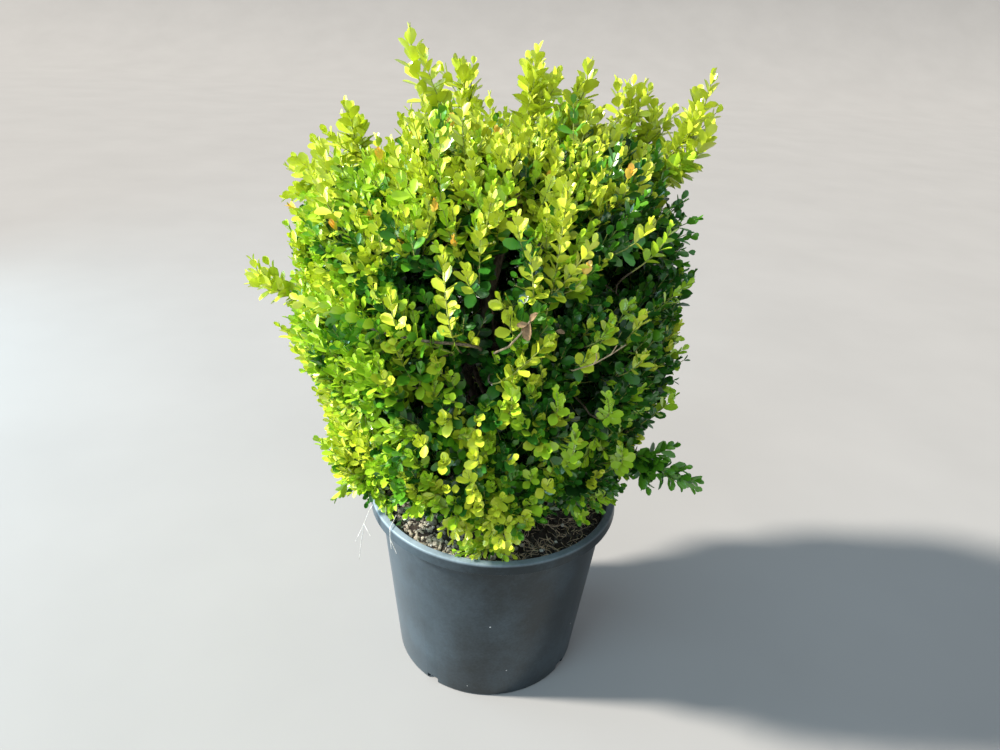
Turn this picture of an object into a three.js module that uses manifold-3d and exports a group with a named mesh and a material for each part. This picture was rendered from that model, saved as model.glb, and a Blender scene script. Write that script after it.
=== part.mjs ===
// A potted boxwood shrub: unclipped, loose and vase shaped, in a round black nursery pot.
// Millimetres, +Z up. The origin is the centre of the pot's flat underside, and -Y is the front.
// Azimuths are in degrees from +X, turning towards +Y, so the front is at -90.

import * as THREE from "three";
import { mergeVertices } from "three/addons/utils/BufferGeometryUtils.js";
import Module from "manifold-3d";

const wasm = await Module();
wasm.setup();

// Nursery pot
const POT_HEIGHT = 315;
const POT_RIM_RADIUS = 200;
const POT_LIP_RADIUS = 201.5;
const POT_LIP_HEIGHT = 17;
const POT_NECK_RADIUS = 186;
const POT_MOUTH_RADIUS = 189;
const POT_BASE_RADIUS = 155;
const POT_WALL = 3;
const POT_EDGE_ROUNDING = 1.5;
const POT_FLOOR = 4;
const POT_SIDES = 32;
const NOTCH_COUNT = 4;
const NOTCH_AZIMUTH = -123;
const NOTCH_WIDTH = 22;
const NOTCH_HEIGHT = 12;
const NOTCH_DEPTH = 24;

// Potting mix
const SOIL_DROP = 27;
const SOIL_CROWN = 12;
const SOIL_FOOT_RADIUS = 45;
const SOIL_UNEVENNESS = 3;
const SOIL_WAVE = 20;
const SOIL_RINGS = 2;

// Stem and boughs
const CLEARANCE = 0.3;
const FACET_CLEARANCE = 0.5;
const TRUNK_LENGTH = 84;
const TRUNK_RADIUS = 20;
const TRUNK_TOP_RADIUS = 22;
const TRUNK_FLARE = 11;
const TRUNK_LEAN = 5;
const TRUNK_LOBES = 3;
const TRUNK_SIDES = 10;
const TRUNK_STEPS = 5;
const LIMB_SIDES = 6;
const LIMB_STEPS = 4;
const LEADER_FOOT = { radius: 13.2, sunk: 10 };
const LEADER_BENDS = [{ radius: 34, rise: 85 }, { radius: 84, rise: 190 }];
const MIDDLE_FORKS = [0.16, 0.26];
const MIDDLE_SAG = 14;
const LOWER_FORKS = [34, 46];
const LOWER_FOOT_RADIUS = 8;
const LOWER_BEND = { radius: 62, rise: 26 };
const TOP_FORK = 0.34;
const TOP_ROUTE = [[-34, 14, 640], [-14, 4, 778]];
const TUFT_AZIMUTH = -84;
const TUFT_FORK = 16;
const TUFT_BEND = { radius: 70, rise: 30 };
const TUFT_END = [10, -122, 344];

// Foliage
const SEED = 20461;
const GOLDEN_ANGLE = Math.PI * (3 - Math.sqrt(5));
const SPACE_MARGIN = 1.2;
const POT_CLEARANCE = 7;
const LEAF_LENGTH = 62;
const LEAF_WIDTH = 0.6;
const LEAF_THICKNESS = 0.07;
const LEAF_WIDEST = 0.56;
const LEAF_SINK = 0.016;
const FIRST_OPENING = 34;
const OPENING_STEP = 24;
const WIDEST_OPENING = 62;
const TWIG = { pairs: 2, spacing: 15, steps: 1, bend: 0 };
const SHOOT = { pairs: 3, spacing: 28, steps: 3, bend: 0.08, tipLeaf: true };
const DROOPING_SHOOT = { ...SHOOT, bend: -0.1 };
const TWIG_RADIUS = 3;
const STEM_RADIUS = 3.4;
const TWIG_TAPER = 0.33;
const SHORTEST_TWIG = 26;
const TWIG_SPREAD = 98;
const TWIG_REACH = 150;
const TIP_DEPTH = 46;
const TWIG_LIFT = 0.3;
const CORE_REACH = 118;
const CORE_REACH_INWARD = 62;
const CORE_DEPTH = 68;
const CORE_MARGIN = 5;
const CORE_SMALLEST = 14;
const CORE_ROUGHNESS = 0.22;

// Crown outline: height, and the crown's half width there
const CROWN_CENTRE_X = -18;
const CROWN_FOCUS_DROP = 130;
const CROWN_OUTLINE = [
  [330, 200],
  [350, 236],
  [455, 262],
  [550, 284],
  [630, 296],
  [710, 292],
  [790, 276],
  [850, 244],
  [895, 180],
  [916, 90],
  [920, 0],
];
// The crown's underside rises from the pot's rim towards the bare stem
const SKIRT_OUTER_RADIUS = 232;
const SKIRT_OUTER_HEIGHT = 338;
const SKIRT_INNER_RADIUS = 110;
const SKIRT_INNER_HEIGHT = 395;
// The low tuft hangs past the crown's underside, as far as this
const TUFT_RADIUS = 232;
const TUFT_HEIGHT = 292;

// Rings of foliage masses: where each mass sits, and where its bough ends
const UPPER = {
  name: "upper", count: 5, firstAzimuth: -126, seedRadius: 158, seedHeight: 800,
  boughRadius: 108, boughHeight: 724, boughBase: 7.6, boughTip: 4.4, twigs: 7,
};
const MIDDLE = {
  name: "middle", count: 6, firstAzimuth: -120, seedRadius: 192, seedHeight: 620,
  boughRadius: 128, boughHeight: 566, boughBase: 5.6, boughTip: 3.8, twigs: 8,
};
const LOWER = {
  name: "lower", count: 6, firstAzimuth: -90, seedRadius: 172, seedHeight: 448,
  boughRadius: 108, boughHeight: 408, boughBase: 5.4, boughTip: 3.6, twigs: 7,
};
const TOP = { name: "top", seed: [-10, 0, 852], boughBase: 5.2, boughTip: 4, twigs: 5 };
const FRONT_TUFT = { name: "front_tuft", seed: [12, -158, 346], boughBase: 3.8, boughTip: 2.6, twigs: 6 };
const TUFT_CORE_REACH = 20;

// Tips of the long shoots that make the outline. Each grows in the mass whose space its tip is in
const SHOOT_TIPS = [
  [-139, -30, 995],
  [-212, -40, 904],
  [-272, 20, 808],
  [-75, 40, 958],
  [25, -60, 985],
  [93, -52, 972],
  [157, 40, 950],
  [258, 12, 966],
  [40, 190, 950],
  [-366, -20, 688],
  [318, -62, 372],
  [-234, -70, 352],
];

const COLOURS = {
  pot: { color: 0x2c2f31, roughness: 0.5, metalness: 0 },
  soil: { color: 0x5d4a38, roughness: 0.95, metalness: 0 },
  bark: { color: 0x5a4a38, roughness: 0.85, metalness: 0 },
  leaf: { color: 0x5f8a1e, roughness: 0.55, metalness: 0 },
};

const model = new THREE.Group();

// Numbers and vectors

function seeded(seed) {
  let state = seed >>> 0;
  return () => {
    state = (state + 0x6d2b79f5) >>> 0;
    let mixed = Math.imul(state ^ (state >>> 15), state | 1);
    mixed = (mixed + Math.imul(mixed ^ (mixed >>> 7), mixed | 61)) ^ mixed;
    return ((mixed ^ (mixed >>> 14)) >>> 0) / 4294967296;
  };
}

function polar(azimuth, radius, height) {
  const angle = THREE.MathUtils.degToRad(azimuth);
  return new THREE.Vector3(radius * Math.cos(angle), radius * Math.sin(angle), height);
}

// The direction at an angle from one towards another that is square to it
function between(one, other, angle) {
  return one.clone().multiplyScalar(Math.cos(angle)).addScaledVector(other, Math.sin(angle));
}

function acrossFrom(axis) {
  const reference = Math.abs(axis.z) < 0.9 ? new THREE.Vector3(0, 0, 1) : new THREE.Vector3(1, 0, 0);
  const side = new THREE.Vector3().crossVectors(axis, reference).normalize();
  return [side, new THREE.Vector3().crossVectors(axis, side)];
}

// Closed solids

function solid(geometry) {
  const bare = geometry.clone();
  bare.deleteAttribute("normal");
  bare.deleteAttribute("uv");
  const merged = mergeVertices(bare, 1e-4);
  const corners = merged.index.array;
  const kept = [];
  for (let i = 0; i < corners.length; i += 3) {
    const [a, b, c] = [corners[i], corners[i + 1], corners[i + 2]];
    if (a !== b && b !== c && c !== a) kept.push(a, b, c);
  }
  const vertProperties = new Float32Array(merged.attributes.position.array);
  const triVerts = new Uint32Array(kept);
  return new wasm.Manifold(new wasm.Mesh({ numProp: 3, vertProperties, triVerts }));
}

function largestPiece(shape) {
  const pieces = shape.decompose();
  return pieces.reduce((best, piece) => (piece.volume() > best.volume() ? piece : best), pieces[0]);
}

function addNode(name, shape, look) {
  const mesh = shape.getMesh();
  const geometry = new THREE.BufferGeometry();
  const places = new Float32Array(mesh.numVert * 3);
  for (let i = 0; i < mesh.numVert; i += 1) {
    for (let axis = 0; axis < 3; axis += 1) {
      places[3 * i + axis] = mesh.vertProperties[mesh.numProp * i + axis];
    }
  }
  geometry.setAttribute("position", new THREE.BufferAttribute(places, 3));
  geometry.setIndex(new THREE.BufferAttribute(new Uint32Array(mesh.triVerts), 1));
  geometry.computeVertexNormals();
  const node = new THREE.Mesh(geometry, new THREE.MeshStandardMaterial(look));
  node.name = name;
  model.add(node);
}

function turned(profile, sides) {
  const geometry = new THREE.LatheGeometry(
    profile.map(([radius, height]) => new THREE.Vector2(radius, height)),
    sides,
  );
  geometry.rotateX(Math.PI / 2);
  return geometry;
}

// A tapering, many-sided rod along a curve: radiusAt takes the share of the way and the angle round
function rod(curve, radiusAt, sides, steps) {
  const section = new THREE.Shape();
  for (let i = 0; i < sides; i += 1) {
    const angle = (2 * Math.PI * i) / sides;
    if (i === 0) section.moveTo(1, 0);
    else section.lineTo(Math.cos(angle), Math.sin(angle));
  }
  const geometry = new THREE.ExtrudeGeometry(section, { depth: 1, steps, bevelEnabled: false });
  const { normals, binormals } = curve.computeFrenetFrames(steps);
  const place = geometry.attributes.position;
  for (let i = 0; i < place.count; i += 1) {
    const step = Math.round(place.getZ(i) * steps);
    const share = step / steps;
    const [x, y] = [place.getX(i), place.getY(i)];
    const radius = radiusAt(share, Math.atan2(y, x));
    const point = curve.getPointAt(share);
    point.addScaledVector(normals[step], x * radius);
    point.addScaledVector(binormals[step], y * radius);
    place.setXYZ(i, point.x, point.y, point.z);
  }
  return solid(geometry);
}

// Pot

function makePot() {
  const lipFoot = POT_HEIGHT - POT_LIP_HEIGHT;
  const profile = [
    [0, 0],
    [POT_BASE_RADIUS - POT_EDGE_ROUNDING, 0],
    [POT_BASE_RADIUS, POT_EDGE_ROUNDING],
    [POT_NECK_RADIUS, lipFoot],
    [POT_MOUTH_RADIUS + POT_EDGE_ROUNDING, POT_HEIGHT - POT_WALL],
    [POT_RIM_RADIUS - POT_WALL, POT_HEIGHT - POT_WALL],
    [POT_LIP_RADIUS - POT_WALL, lipFoot],
    [POT_LIP_RADIUS, lipFoot],
    [POT_RIM_RADIUS, POT_HEIGHT - POT_EDGE_ROUNDING],
    [POT_RIM_RADIUS - POT_EDGE_ROUNDING, POT_HEIGHT],
    [POT_MOUTH_RADIUS, POT_HEIGHT],
    [POT_NECK_RADIUS - POT_WALL, lipFoot],
    [POT_BASE_RADIUS - POT_WALL, POT_FLOOR],
    [0, POT_FLOOR],
  ];
  let pot = solid(turned(profile, POT_SIDES));
  for (let i = 0; i < NOTCH_COUNT; i += 1) {
    const notch = new THREE.BoxGeometry(NOTCH_DEPTH, NOTCH_WIDTH, 2 * NOTCH_HEIGHT);
    notch.translate(POT_BASE_RADIUS, 0, 0);
    notch.rotateZ(THREE.MathUtils.degToRad(NOTCH_AZIMUTH + (360 * i) / NOTCH_COUNT));
    pot = pot.subtract(solid(notch));
  }
  return pot;
}

// Potting mix, level under the stem's foot and slightly uneven towards the wall

const SOIL_EDGE_HEIGHT = POT_HEIGHT - SOIL_DROP;
const SOIL_FOOT_HEIGHT = SOIL_EDGE_HEIGHT + SOIL_CROWN;

function innerWallRadius(height) {
  const rise = (height - POT_FLOOR) / (POT_HEIGHT - POT_LIP_HEIGHT - POT_FLOOR);
  return POT_BASE_RADIUS - POT_WALL + rise * (POT_NECK_RADIUS - POT_BASE_RADIUS);
}

function makeSoil() {
  const gap = 2 * CLEARANCE;
  const bottom = POT_FLOOR + CLEARANCE;
  const edgeRadius = innerWallRadius(SOIL_EDGE_HEIGHT) - gap;
  const profile = [
    [0, bottom],
    [innerWallRadius(bottom) - gap, bottom],
    [edgeRadius, SOIL_EDGE_HEIGHT],
  ];
  for (let ring = SOIL_RINGS; ring >= 0; ring -= 1) {
    const share = ring / (SOIL_RINGS + 1);
    const radius = SOIL_FOOT_RADIUS + share * (edgeRadius - SOIL_FOOT_RADIUS);
    profile.push([radius, SOIL_FOOT_HEIGHT - SOIL_CROWN * share * share]);
  }
  profile.push([0, SOIL_FOOT_HEIGHT]);
  const geometry = turned(profile, POT_SIDES);
  const place = geometry.attributes.position;
  for (let i = 0; i < place.count; i += 1) {
    const [x, y, z] = [place.getX(i), place.getY(i), place.getZ(i)];
    const radius = Math.hypot(x, y);
    const onTop = z > SOIL_EDGE_HEIGHT + 0.1 && radius > SOIL_FOOT_RADIUS + 0.1;
    const wave = Math.sin(x / SOIL_WAVE + 1) * Math.sin(y / SOIL_WAVE);
    if (onTop) place.setZ(i, z + SOIL_UNEVENNESS * wave);
  }
  return solid(geometry);
}

// Stem and boughs. Each limb keeps its curve and radii, so that what grows on it can find it

const limbs = new Map();
const TRUNK_FOOT = SOIL_FOOT_HEIGHT + CLEARANCE;
const TRUNK_TOP = TRUNK_FOOT + TRUNK_LENGTH;

function trunkRadius(share, angle) {
  const lobes = 0.75 + 0.25 * Math.cos(TRUNK_LOBES * angle);
  const flare = TRUNK_FLARE * lobes * Math.pow(1 - share, 3);
  return THREE.MathUtils.lerp(TRUNK_RADIUS, TRUNK_TOP_RADIUS, share * share) + flare;
}

function makeTrunk() {
  const curve = new THREE.CubicBezierCurve3(
    new THREE.Vector3(-TRUNK_LEAN, 0, TRUNK_FOOT),
    new THREE.Vector3(-TRUNK_LEAN, 0, TRUNK_FOOT + TRUNK_LENGTH / 3),
    new THREE.Vector3(0, 0, TRUNK_TOP - TRUNK_LENGTH / 3),
    new THREE.Vector3(0, 0, TRUNK_TOP),
  );
  const wider = (share, angle) => trunkRadius(share, angle) + FACET_CLEARANCE;
  const shape = rod(curve, trunkRadius, TRUNK_SIDES, TRUNK_STEPS);
  const swollen = rod(curve, wider, TRUNK_SIDES, TRUNK_STEPS);
  limbs.set("trunk", { curve, shape, swollen });
}

// A bough tapers evenly, and its foot is cut to its parent's surface, 0.3 mm clear
function growLimb(name, parent, curve, base, tip) {
  const radiusAt = (share) => THREE.MathUtils.lerp(base, tip, share);
  const whole = rod(curve, radiusAt, LIMB_SIDES, LIMB_STEPS);
  const swollen = rod(curve, (share) => radiusAt(share) + FACET_CLEARANCE, LIMB_SIDES, LIMB_STEPS);
  const shape = largestPiece(whole.subtract(limbs.get(parent).swollen));
  limbs.set(name, { curve, shape, swollen });
}

// Foliage masses. Each keeps to the space that is nearer to its own seed than to any other

const masses = [];

function addMass(name, seed, twigs, coreReach = CORE_REACH) {
  masses.push({ name, seed, twigs, coreReach });
}

function crownPolar(azimuth, radius, height) {
  return polar(azimuth, radius, height).add(new THREE.Vector3(CROWN_CENTRE_X, 0, 0));
}

// One bough and one mass for each place in the ring; route gives the bough's parent and its curve
function makeRing(ring, route) {
  for (let i = 0; i < ring.count; i += 1) {
    const azimuth = ring.firstAzimuth + (360 * i) / ring.count;
    const end = crownPolar(azimuth, ring.boughRadius, ring.boughHeight);
    const [parent, curve] = route(azimuth, end, i);
    growLimb(`bough_${ring.name}_${i + 1}`, parent, curve, ring.boughBase, ring.boughTip);
    addMass(`${ring.name}_${i + 1}`, crownPolar(azimuth, ring.seedRadius, ring.seedHeight), ring.twigs);
  }
}

function leaderRoute(azimuth, end) {
  const curve = new THREE.CubicBezierCurve3(
    polar(azimuth, LEADER_FOOT.radius, TRUNK_TOP - LEADER_FOOT.sunk),
    polar(azimuth, LEADER_BENDS[0].radius, TRUNK_TOP + LEADER_BENDS[0].rise),
    crownPolar(azimuth, LEADER_BENDS[1].radius, TRUNK_TOP + LEADER_BENDS[1].rise),
    end,
  );
  return ["trunk", curve];
}

function middleRoute(azimuth, end, i) {
  const turns = Math.round(((azimuth - UPPER.firstAzimuth) * UPPER.count) / 360);
  const parent = `bough_upper_${(turns % UPPER.count) + 1}`;
  const foot = limbs.get(parent).curve.getPointAt(MIDDLE_FORKS[i % 2]);
  const elbow = foot.clone().lerp(end, 0.55);
  elbow.z -= MIDDLE_SAG;
  return [parent, new THREE.QuadraticBezierCurve3(foot, elbow, end)];
}

function lowerRoute(azimuth, end, i) {
  const foot = polar(azimuth, LOWER_FOOT_RADIUS, TRUNK_FOOT + LOWER_FORKS[i % 2]);
  const elbow = polar(azimuth, LOWER_BEND.radius, foot.z + LOWER_BEND.rise);
  return ["trunk", new THREE.QuadraticBezierCurve3(foot, elbow, end)];
}

// The crown's middle, on a bough from the left leader
function makeTop() {
  const leader = limbs.get("bough_upper_5").curve;
  const curve = new THREE.QuadraticBezierCurve3(
    leader.getPointAt(TOP_FORK),
    new THREE.Vector3(...TOP_ROUTE[0]),
    new THREE.Vector3(...TOP_ROUTE[1]),
  );
  growLimb("bough_top", "bough_upper_5", curve, TOP.boughBase, TOP.boughTip);
  addMass(TOP.name, new THREE.Vector3(...TOP.seed), TOP.twigs);
}

// The low tuft that hangs towards the front of the rim
function makeFrontTuft() {
  const foot = polar(TUFT_AZIMUTH, LOWER_FOOT_RADIUS, TRUNK_FOOT + TUFT_FORK);
  const elbow = polar(TUFT_AZIMUTH, TUFT_BEND.radius, foot.z + TUFT_BEND.rise);
  const curve = new THREE.QuadraticBezierCurve3(foot, elbow, new THREE.Vector3(...TUFT_END));
  growLimb("bough_front_tuft", "trunk", curve, FRONT_TUFT.boughBase, FRONT_TUFT.boughTip);
  addMass(FRONT_TUFT.name, new THREE.Vector3(...FRONT_TUFT.seed), FRONT_TUFT.twigs, TUFT_CORE_REACH);
}

// The crown's outline

function crownRadius(height) {
  for (let i = 1; i < CROWN_OUTLINE.length; i += 1) {
    const [low, lowRadius] = CROWN_OUTLINE[i - 1];
    const [high, highRadius] = CROWN_OUTLINE[i];
    if (height >= low && height <= high) {
      return THREE.MathUtils.mapLinear(height, low, high, lowRadius, highRadius);
    }
  }
  return -1;
}

function skirtHeight(radius) {
  const share = (radius - SKIRT_INNER_RADIUS) / (SKIRT_OUTER_RADIUS - SKIRT_INNER_RADIUS);
  return THREE.MathUtils.lerp(SKIRT_INNER_HEIGHT, SKIRT_OUTER_HEIGHT, THREE.MathUtils.clamp(share, 0, 1));
}

function inCrown(point, mass) {
  const radius = Math.hypot(point.x - CROWN_CENTRE_X, point.y);
  if (mass.name === FRONT_TUFT.name) return radius < TUFT_RADIUS && point.z > TUFT_HEIGHT;
  return radius < crownRadius(point.z) && point.z > skirtHeight(radius);
}

function inOwnSpace(point, mass, margin = SPACE_MARGIN) {
  return masses.every((other) => {
    if (other === mass) return true;
    const towards = other.seed.clone().sub(mass.seed);
    const apart = towards.length();
    return point.clone().sub(mass.seed).dot(towards) / apart < apart / 2 - margin;
  });
}

function clearOfPot(point) {
  const overSoil = Math.hypot(point.x, point.y) < POT_MOUTH_RADIUS - POT_CLEARANCE;
  const lowest = overSoil ? SOIL_FOOT_HEIGHT + POT_CLEARANCE : POT_HEIGHT + SPACE_MARGIN;
  return point.z > lowest;
}

// How far a point may go from root along direction, and stay in the mass's space and deep in the crown
function openLength(root, direction, mass, most, depth) {
  const step = 4;
  let length = 0;
  while (length < most) {
    const point = root.clone().addScaledVector(direction, length + step);
    const ahead = point.clone().addScaledVector(direction, depth);
    if (!inCrown(ahead, mass) || !inOwnSpace(point, mass, CORE_MARGIN)) break;
    length += step;
  }
  return length;
}

function makeLeaf(root, direction, facing, length) {
  const leaf = new THREE.OctahedronGeometry(1, 0);
  const side = new THREE.Vector3().crossVectors(facing, direction).normalize();
  const up = new THREE.Vector3().crossVectors(direction, side);
  leaf.scale(length / 2, (length * LEAF_WIDTH) / 2, (length * LEAF_THICKNESS) / 2);
  const place = leaf.attributes.position;
  for (let i = 0; i < place.count; i += 1) {
    if (Math.abs(place.getX(i)) < 1) place.setX(i, length * (LEAF_WIDEST - 0.5));
  }
  leaf.applyMatrix4(new THREE.Matrix4().makeBasis(direction, side, up));
  const middle = root.clone().addScaledVector(direction, length * (0.5 - LEAF_SINK));
  leaf.translate(middle.x, middle.y, middle.z);
  return leaf;
}

function cornersOf(geometry) {
  const place = geometry.attributes.position;
  return Array.from({ length: place.count }, (_, i) => new THREE.Vector3().fromBufferAttribute(place, i));
}

function boxesMeet(one, other) {
  return [0, 1, 2].every((axis) => one.min[axis] < other.max[axis] && other.min[axis] < one.max[axis]);
}

function touchesLimb(shape) {
  const box = shape.boundingBox();
  for (const { swollen } of limbs.values()) {
    if (boxesMeet(box, swollen.boundingBox()) && !shape.intersect(swollen).isEmpty()) return true;
  }
  return false;
}

// Leaves in crossed pairs down from a twig's tip, each pair wider open than the one above it
function leavesAlong(curve, { pairs, spacing, tipLeaf }, random) {
  const leaves = [];
  const roll = random() * Math.PI;
  if (tipLeaf) {
    const axis = curve.getTangentAt(1);
    leaves.push([curve.getPointAt(0.98), axis, acrossFrom(axis)[0], LEAF_LENGTH]);
  }
  for (let pair = 0; pair < pairs; pair += 1) {
    const share = 0.98 - (pair * spacing) / curve.getLength();
    const root = curve.getPointAt(share);
    const axis = curve.getTangentAt(share);
    const [u, v] = acrossFrom(axis);
    const turn = roll + (pair * Math.PI) / 2;
    const widest = Math.min(FIRST_OPENING + pair * OPENING_STEP, WIDEST_OPENING);
    const opening = THREE.MathUtils.degToRad(widest);
    for (const side of [turn, turn + Math.PI]) {
      const out = between(u, v, side);
      const length = LEAF_LENGTH * (0.84 + 0.2 * random());
      leaves.push([root, between(axis, out, opening), between(axis, out, opening - Math.PI / 2), length]);
    }
  }
  return leaves;
}

function growTwig(mass, mesh, root, tip, kind, random) {
  const length = root.distanceTo(tip);
  const elbow = root.clone().lerp(tip, 0.5);
  elbow.z -= kind.bend * length;
  const curve = new THREE.QuadraticBezierCurve3(root, elbow, tip);
  const twig = rod(curve, (share) => TWIG_RADIUS * (1 - TWIG_TAPER * share), 3, kind.steps);
  if (touchesLimb(twig)) return mesh;
  let grown = mesh.add(twig);
  for (const [leafRoot, direction, facing, leafLength] of leavesAlong(curve, kind, random)) {
    const leaf = makeLeaf(leafRoot, direction, facing, leafLength);
    const kept = cornersOf(leaf).every((corner) => inOwnSpace(corner, mass) && clearOfPot(corner));
    if (!kept) continue;
    const shape = solid(leaf);
    if (touchesLimb(shape)) continue;
    grown = grown.add(shape);
  }
  return grown;
}

function makeCore(mass, random) {
  const core = new THREE.IcosahedronGeometry(1, 1);
  core.deleteAttribute("normal");
  core.deleteAttribute("uv");
  const rough = mergeVertices(core, 1e-4);
  const place = rough.attributes.position;
  const outward = outwardOf(mass);
  for (let i = 0; i < place.count; i += 1) {
    const direction = new THREE.Vector3().fromBufferAttribute(place, i).normalize();
    const inward = THREE.MathUtils.clamp(-direction.dot(outward), 0, 1);
    const most = THREE.MathUtils.lerp(mass.coreReach, Math.min(mass.coreReach, CORE_REACH_INWARD), inward);
    const open = openLength(mass.seed, direction, mass, most, CORE_DEPTH);
    const reach = Math.max(open, CORE_SMALLEST) * (1 - CORE_ROUGHNESS * random());
    const point = mass.seed.clone().addScaledVector(direction, reach);
    place.setXYZ(i, point.x, point.y, point.z);
  }
  return solid(rough);
}

// Masses face away from a point on the crown's axis some way below them
function outwardOf(mass) {
  const inner = new THREE.Vector3(CROWN_CENTRE_X, 0, mass.seed.z - CROWN_FOCUS_DROP);
  return mass.seed.clone().sub(inner).normalize();
}

// A stem from the bough's tip, a core, twigs turned by the golden angle, and the mass's long shoots
function makeFoliage(mass, index) {
  const random = seeded(SEED + 101 * index);
  const bough = limbs.get(`bough_${mass.name}`).curve;
  const along = bough.getTangentAt(1);
  const foot = bough.getPointAt(1).addScaledVector(along, CLEARANCE);
  const elbow = foot.clone().addScaledVector(along, 0.45 * foot.distanceTo(mass.seed));
  const stem = new THREE.QuadraticBezierCurve3(foot, elbow, mass.seed);
  let mesh = rod(stem, (share) => STEM_RADIUS * (1 - TWIG_TAPER * share), 4, 2);
  let core = makeCore(mass, random);
  for (const limb of limbs.values()) core = core.subtract(limb.swollen);
  mesh = mesh.add(largestPiece(core));
  const axis = outwardOf(mass);
  const [u, v] = acrossFrom(axis);
  const phase = random() * 2 * Math.PI;
  for (let i = 0; i < mass.twigs; i += 1) {
    const spread = (i + 0.6) / mass.twigs;
    const lean = THREE.MathUtils.degToRad(TWIG_SPREAD) * Math.sqrt(spread);
    const turn = phase + i * GOLDEN_ANGLE;
    const direction = between(axis, between(u, v, turn), lean);
    direction.z += TWIG_LIFT;
    direction.normalize();
    const root = stem.getPointAt(0.94 - 0.5 * spread);
    const length = openLength(root, direction, mass, TWIG_REACH, TIP_DEPTH);
    if (length < SHORTEST_TWIG) continue;
    const tip = root.clone().addScaledVector(direction, length);
    mesh = growTwig(mass, mesh, root, tip, TWIG, random);
  }
  for (const tip of SHOOT_TIPS.map((place) => new THREE.Vector3(...place))) {
    if (!inOwnSpace(tip, mass, 0)) continue;
    const reach = tip.clone().sub(mass.seed).normalize();
    const top = tip.clone().addScaledVector(reach, -LEAF_LENGTH);
    mesh = growTwig(mass, mesh, mass.seed.clone(), top, reach.z > 0 ? SHOOT : DROOPING_SHOOT, random);
  }
  return largestPiece(mesh);
}

makeTrunk();
makeRing(UPPER, leaderRoute);
makeRing(MIDDLE, middleRoute);
makeRing(LOWER, lowerRoute);
makeTop();
makeFrontTuft();

addNode("pot", makePot(), COLOURS.pot);
addNode("soil", makeSoil(), COLOURS.soil);
for (const [name, limb] of limbs) addNode(name, limb.shape, COLOURS.bark);
masses.forEach((mass, index) => addNode(`foliage_${mass.name}`, makeFoliage(mass, index), COLOURS.leaf));

export default model;
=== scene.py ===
"""A potted boxwood shrub: pot, potting mix, bark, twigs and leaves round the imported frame.

Metres, +Z up. The origin is the centre of the pot's flat underside, and -Y is the front.
Azimuths are in degrees from +X, turning towards +Y, so the front is at -90.
"""

import math
from dataclasses import dataclass
from functools import lru_cache

import bmesh
import bpy
import numpy as np
from bpy.props import (
    FloatProperty,
    FloatVectorProperty,
    IntProperty,
    PointerProperty,
)
from mathutils import Matrix, Vector, noise


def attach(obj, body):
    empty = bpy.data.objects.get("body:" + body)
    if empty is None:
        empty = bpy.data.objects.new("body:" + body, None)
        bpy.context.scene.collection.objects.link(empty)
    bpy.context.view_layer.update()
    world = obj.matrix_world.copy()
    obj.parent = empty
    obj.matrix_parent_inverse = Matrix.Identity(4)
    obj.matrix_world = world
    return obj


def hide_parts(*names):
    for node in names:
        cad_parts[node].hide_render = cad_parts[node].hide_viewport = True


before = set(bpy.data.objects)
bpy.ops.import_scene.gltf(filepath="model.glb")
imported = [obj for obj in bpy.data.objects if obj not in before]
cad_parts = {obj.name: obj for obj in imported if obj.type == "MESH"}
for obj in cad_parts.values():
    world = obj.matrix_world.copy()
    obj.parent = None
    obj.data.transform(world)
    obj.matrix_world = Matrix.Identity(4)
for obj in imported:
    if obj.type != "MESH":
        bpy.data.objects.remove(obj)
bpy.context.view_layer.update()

bl_info = {
    "name": "Potted boxwood shrub",
    "version": (1, 0, 0),
    "blender": (4, 5, 0),
    "location": "3D View > Sidebar > Shrub",
    "description": "Pot, potting mix, bark, twigs and leaves of an unclipped boxwood in its nursery pot",
    "category": "Add Mesh",
}

MM = 0.001
GOLDEN_ANGLE = math.pi * (3 - math.sqrt(5))
FULL_TURN = 2 * math.pi
UP = np.array([0.0, 0.0, 1.0])

# The photo's camera, solved from the pot's rim and foot: metres, degrees, and a lens for a 36 mm frame
CAMERA_PLACE = (0, -1.0296, 1.03)
CAMERA_PITCH = 26.41
CAMERA_ROLL = 3.23
CAMERA_LENS = 26.86

# The lamps: one sun from the upper left, and soft discs, each with its share of the fill's power
LAMP_TARGET = Vector((0, 0, 0.5))
KEY_PLACE = (-4.6, -0.35, 4.1)
KEY_ANGLE = 6
KEY_COLOUR = (1.0, 0.93, 0.84)
FILLS = (
    ("left_fill", 2.8, (-2.6, 0.45, 0.75)),
    ("front_fill", 2.3, (-1.5, -2.0, 2.4)),
    ("right_fill", 0.16, (2.2, -1.6, 1.6)),
)
FILL_SIZE = 1.8
FILL_COLOUR = (0.55, 0.82, 1.0)
SURROUND_COLOUR = (0.84, 0.92, 1.0, 1.0)

# The floor: half its width, where it turns up behind, and the radius of that turn, in metres
FLOOR_SIDE = 18
FLOOR_BACK = 9
FLOOR_BEND = 4

# The pot, in metres: its base and lip, the corners of its profile that are rounded, its drain notches
BASE_TOP = 0.0075
LIP_WIDTH = 0.011
POT_ROUNDING = {3: 0.004, 4: 0.002, 5: 0.001, 7: 0.0008, 8: 0.0008, 9: 0.0026, 10: 0.0016, 11: 0.003}
CREASE_ANGLE = 35
NOTCH_AZIMUTHS = (-123, -33, 57, 147)
NOTCH_SIZE = (0.024, 0.022, 0.024)
NOTCH_ROUNDING = 0.002

# The potting mix, in metres: its foot, the flat round the stem, its waves (length, height),
# its crumbs (how fine, height), the heap at the front left (x, y, spread, height), and its mesh
SOIL_FOOT = 0.0078
SOIL_FLAT = 0.045
SOIL_WAVES = (0.02, 0.0022)
SOIL_CRUMBS = (70, 0.0028)
SOIL_HEAP = (-0.1, -0.125, 0.055, 0.011)
SOIL_RINGS = 64
SOIL_SIDES = 200
GRIT_DENSITY = 3000

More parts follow.
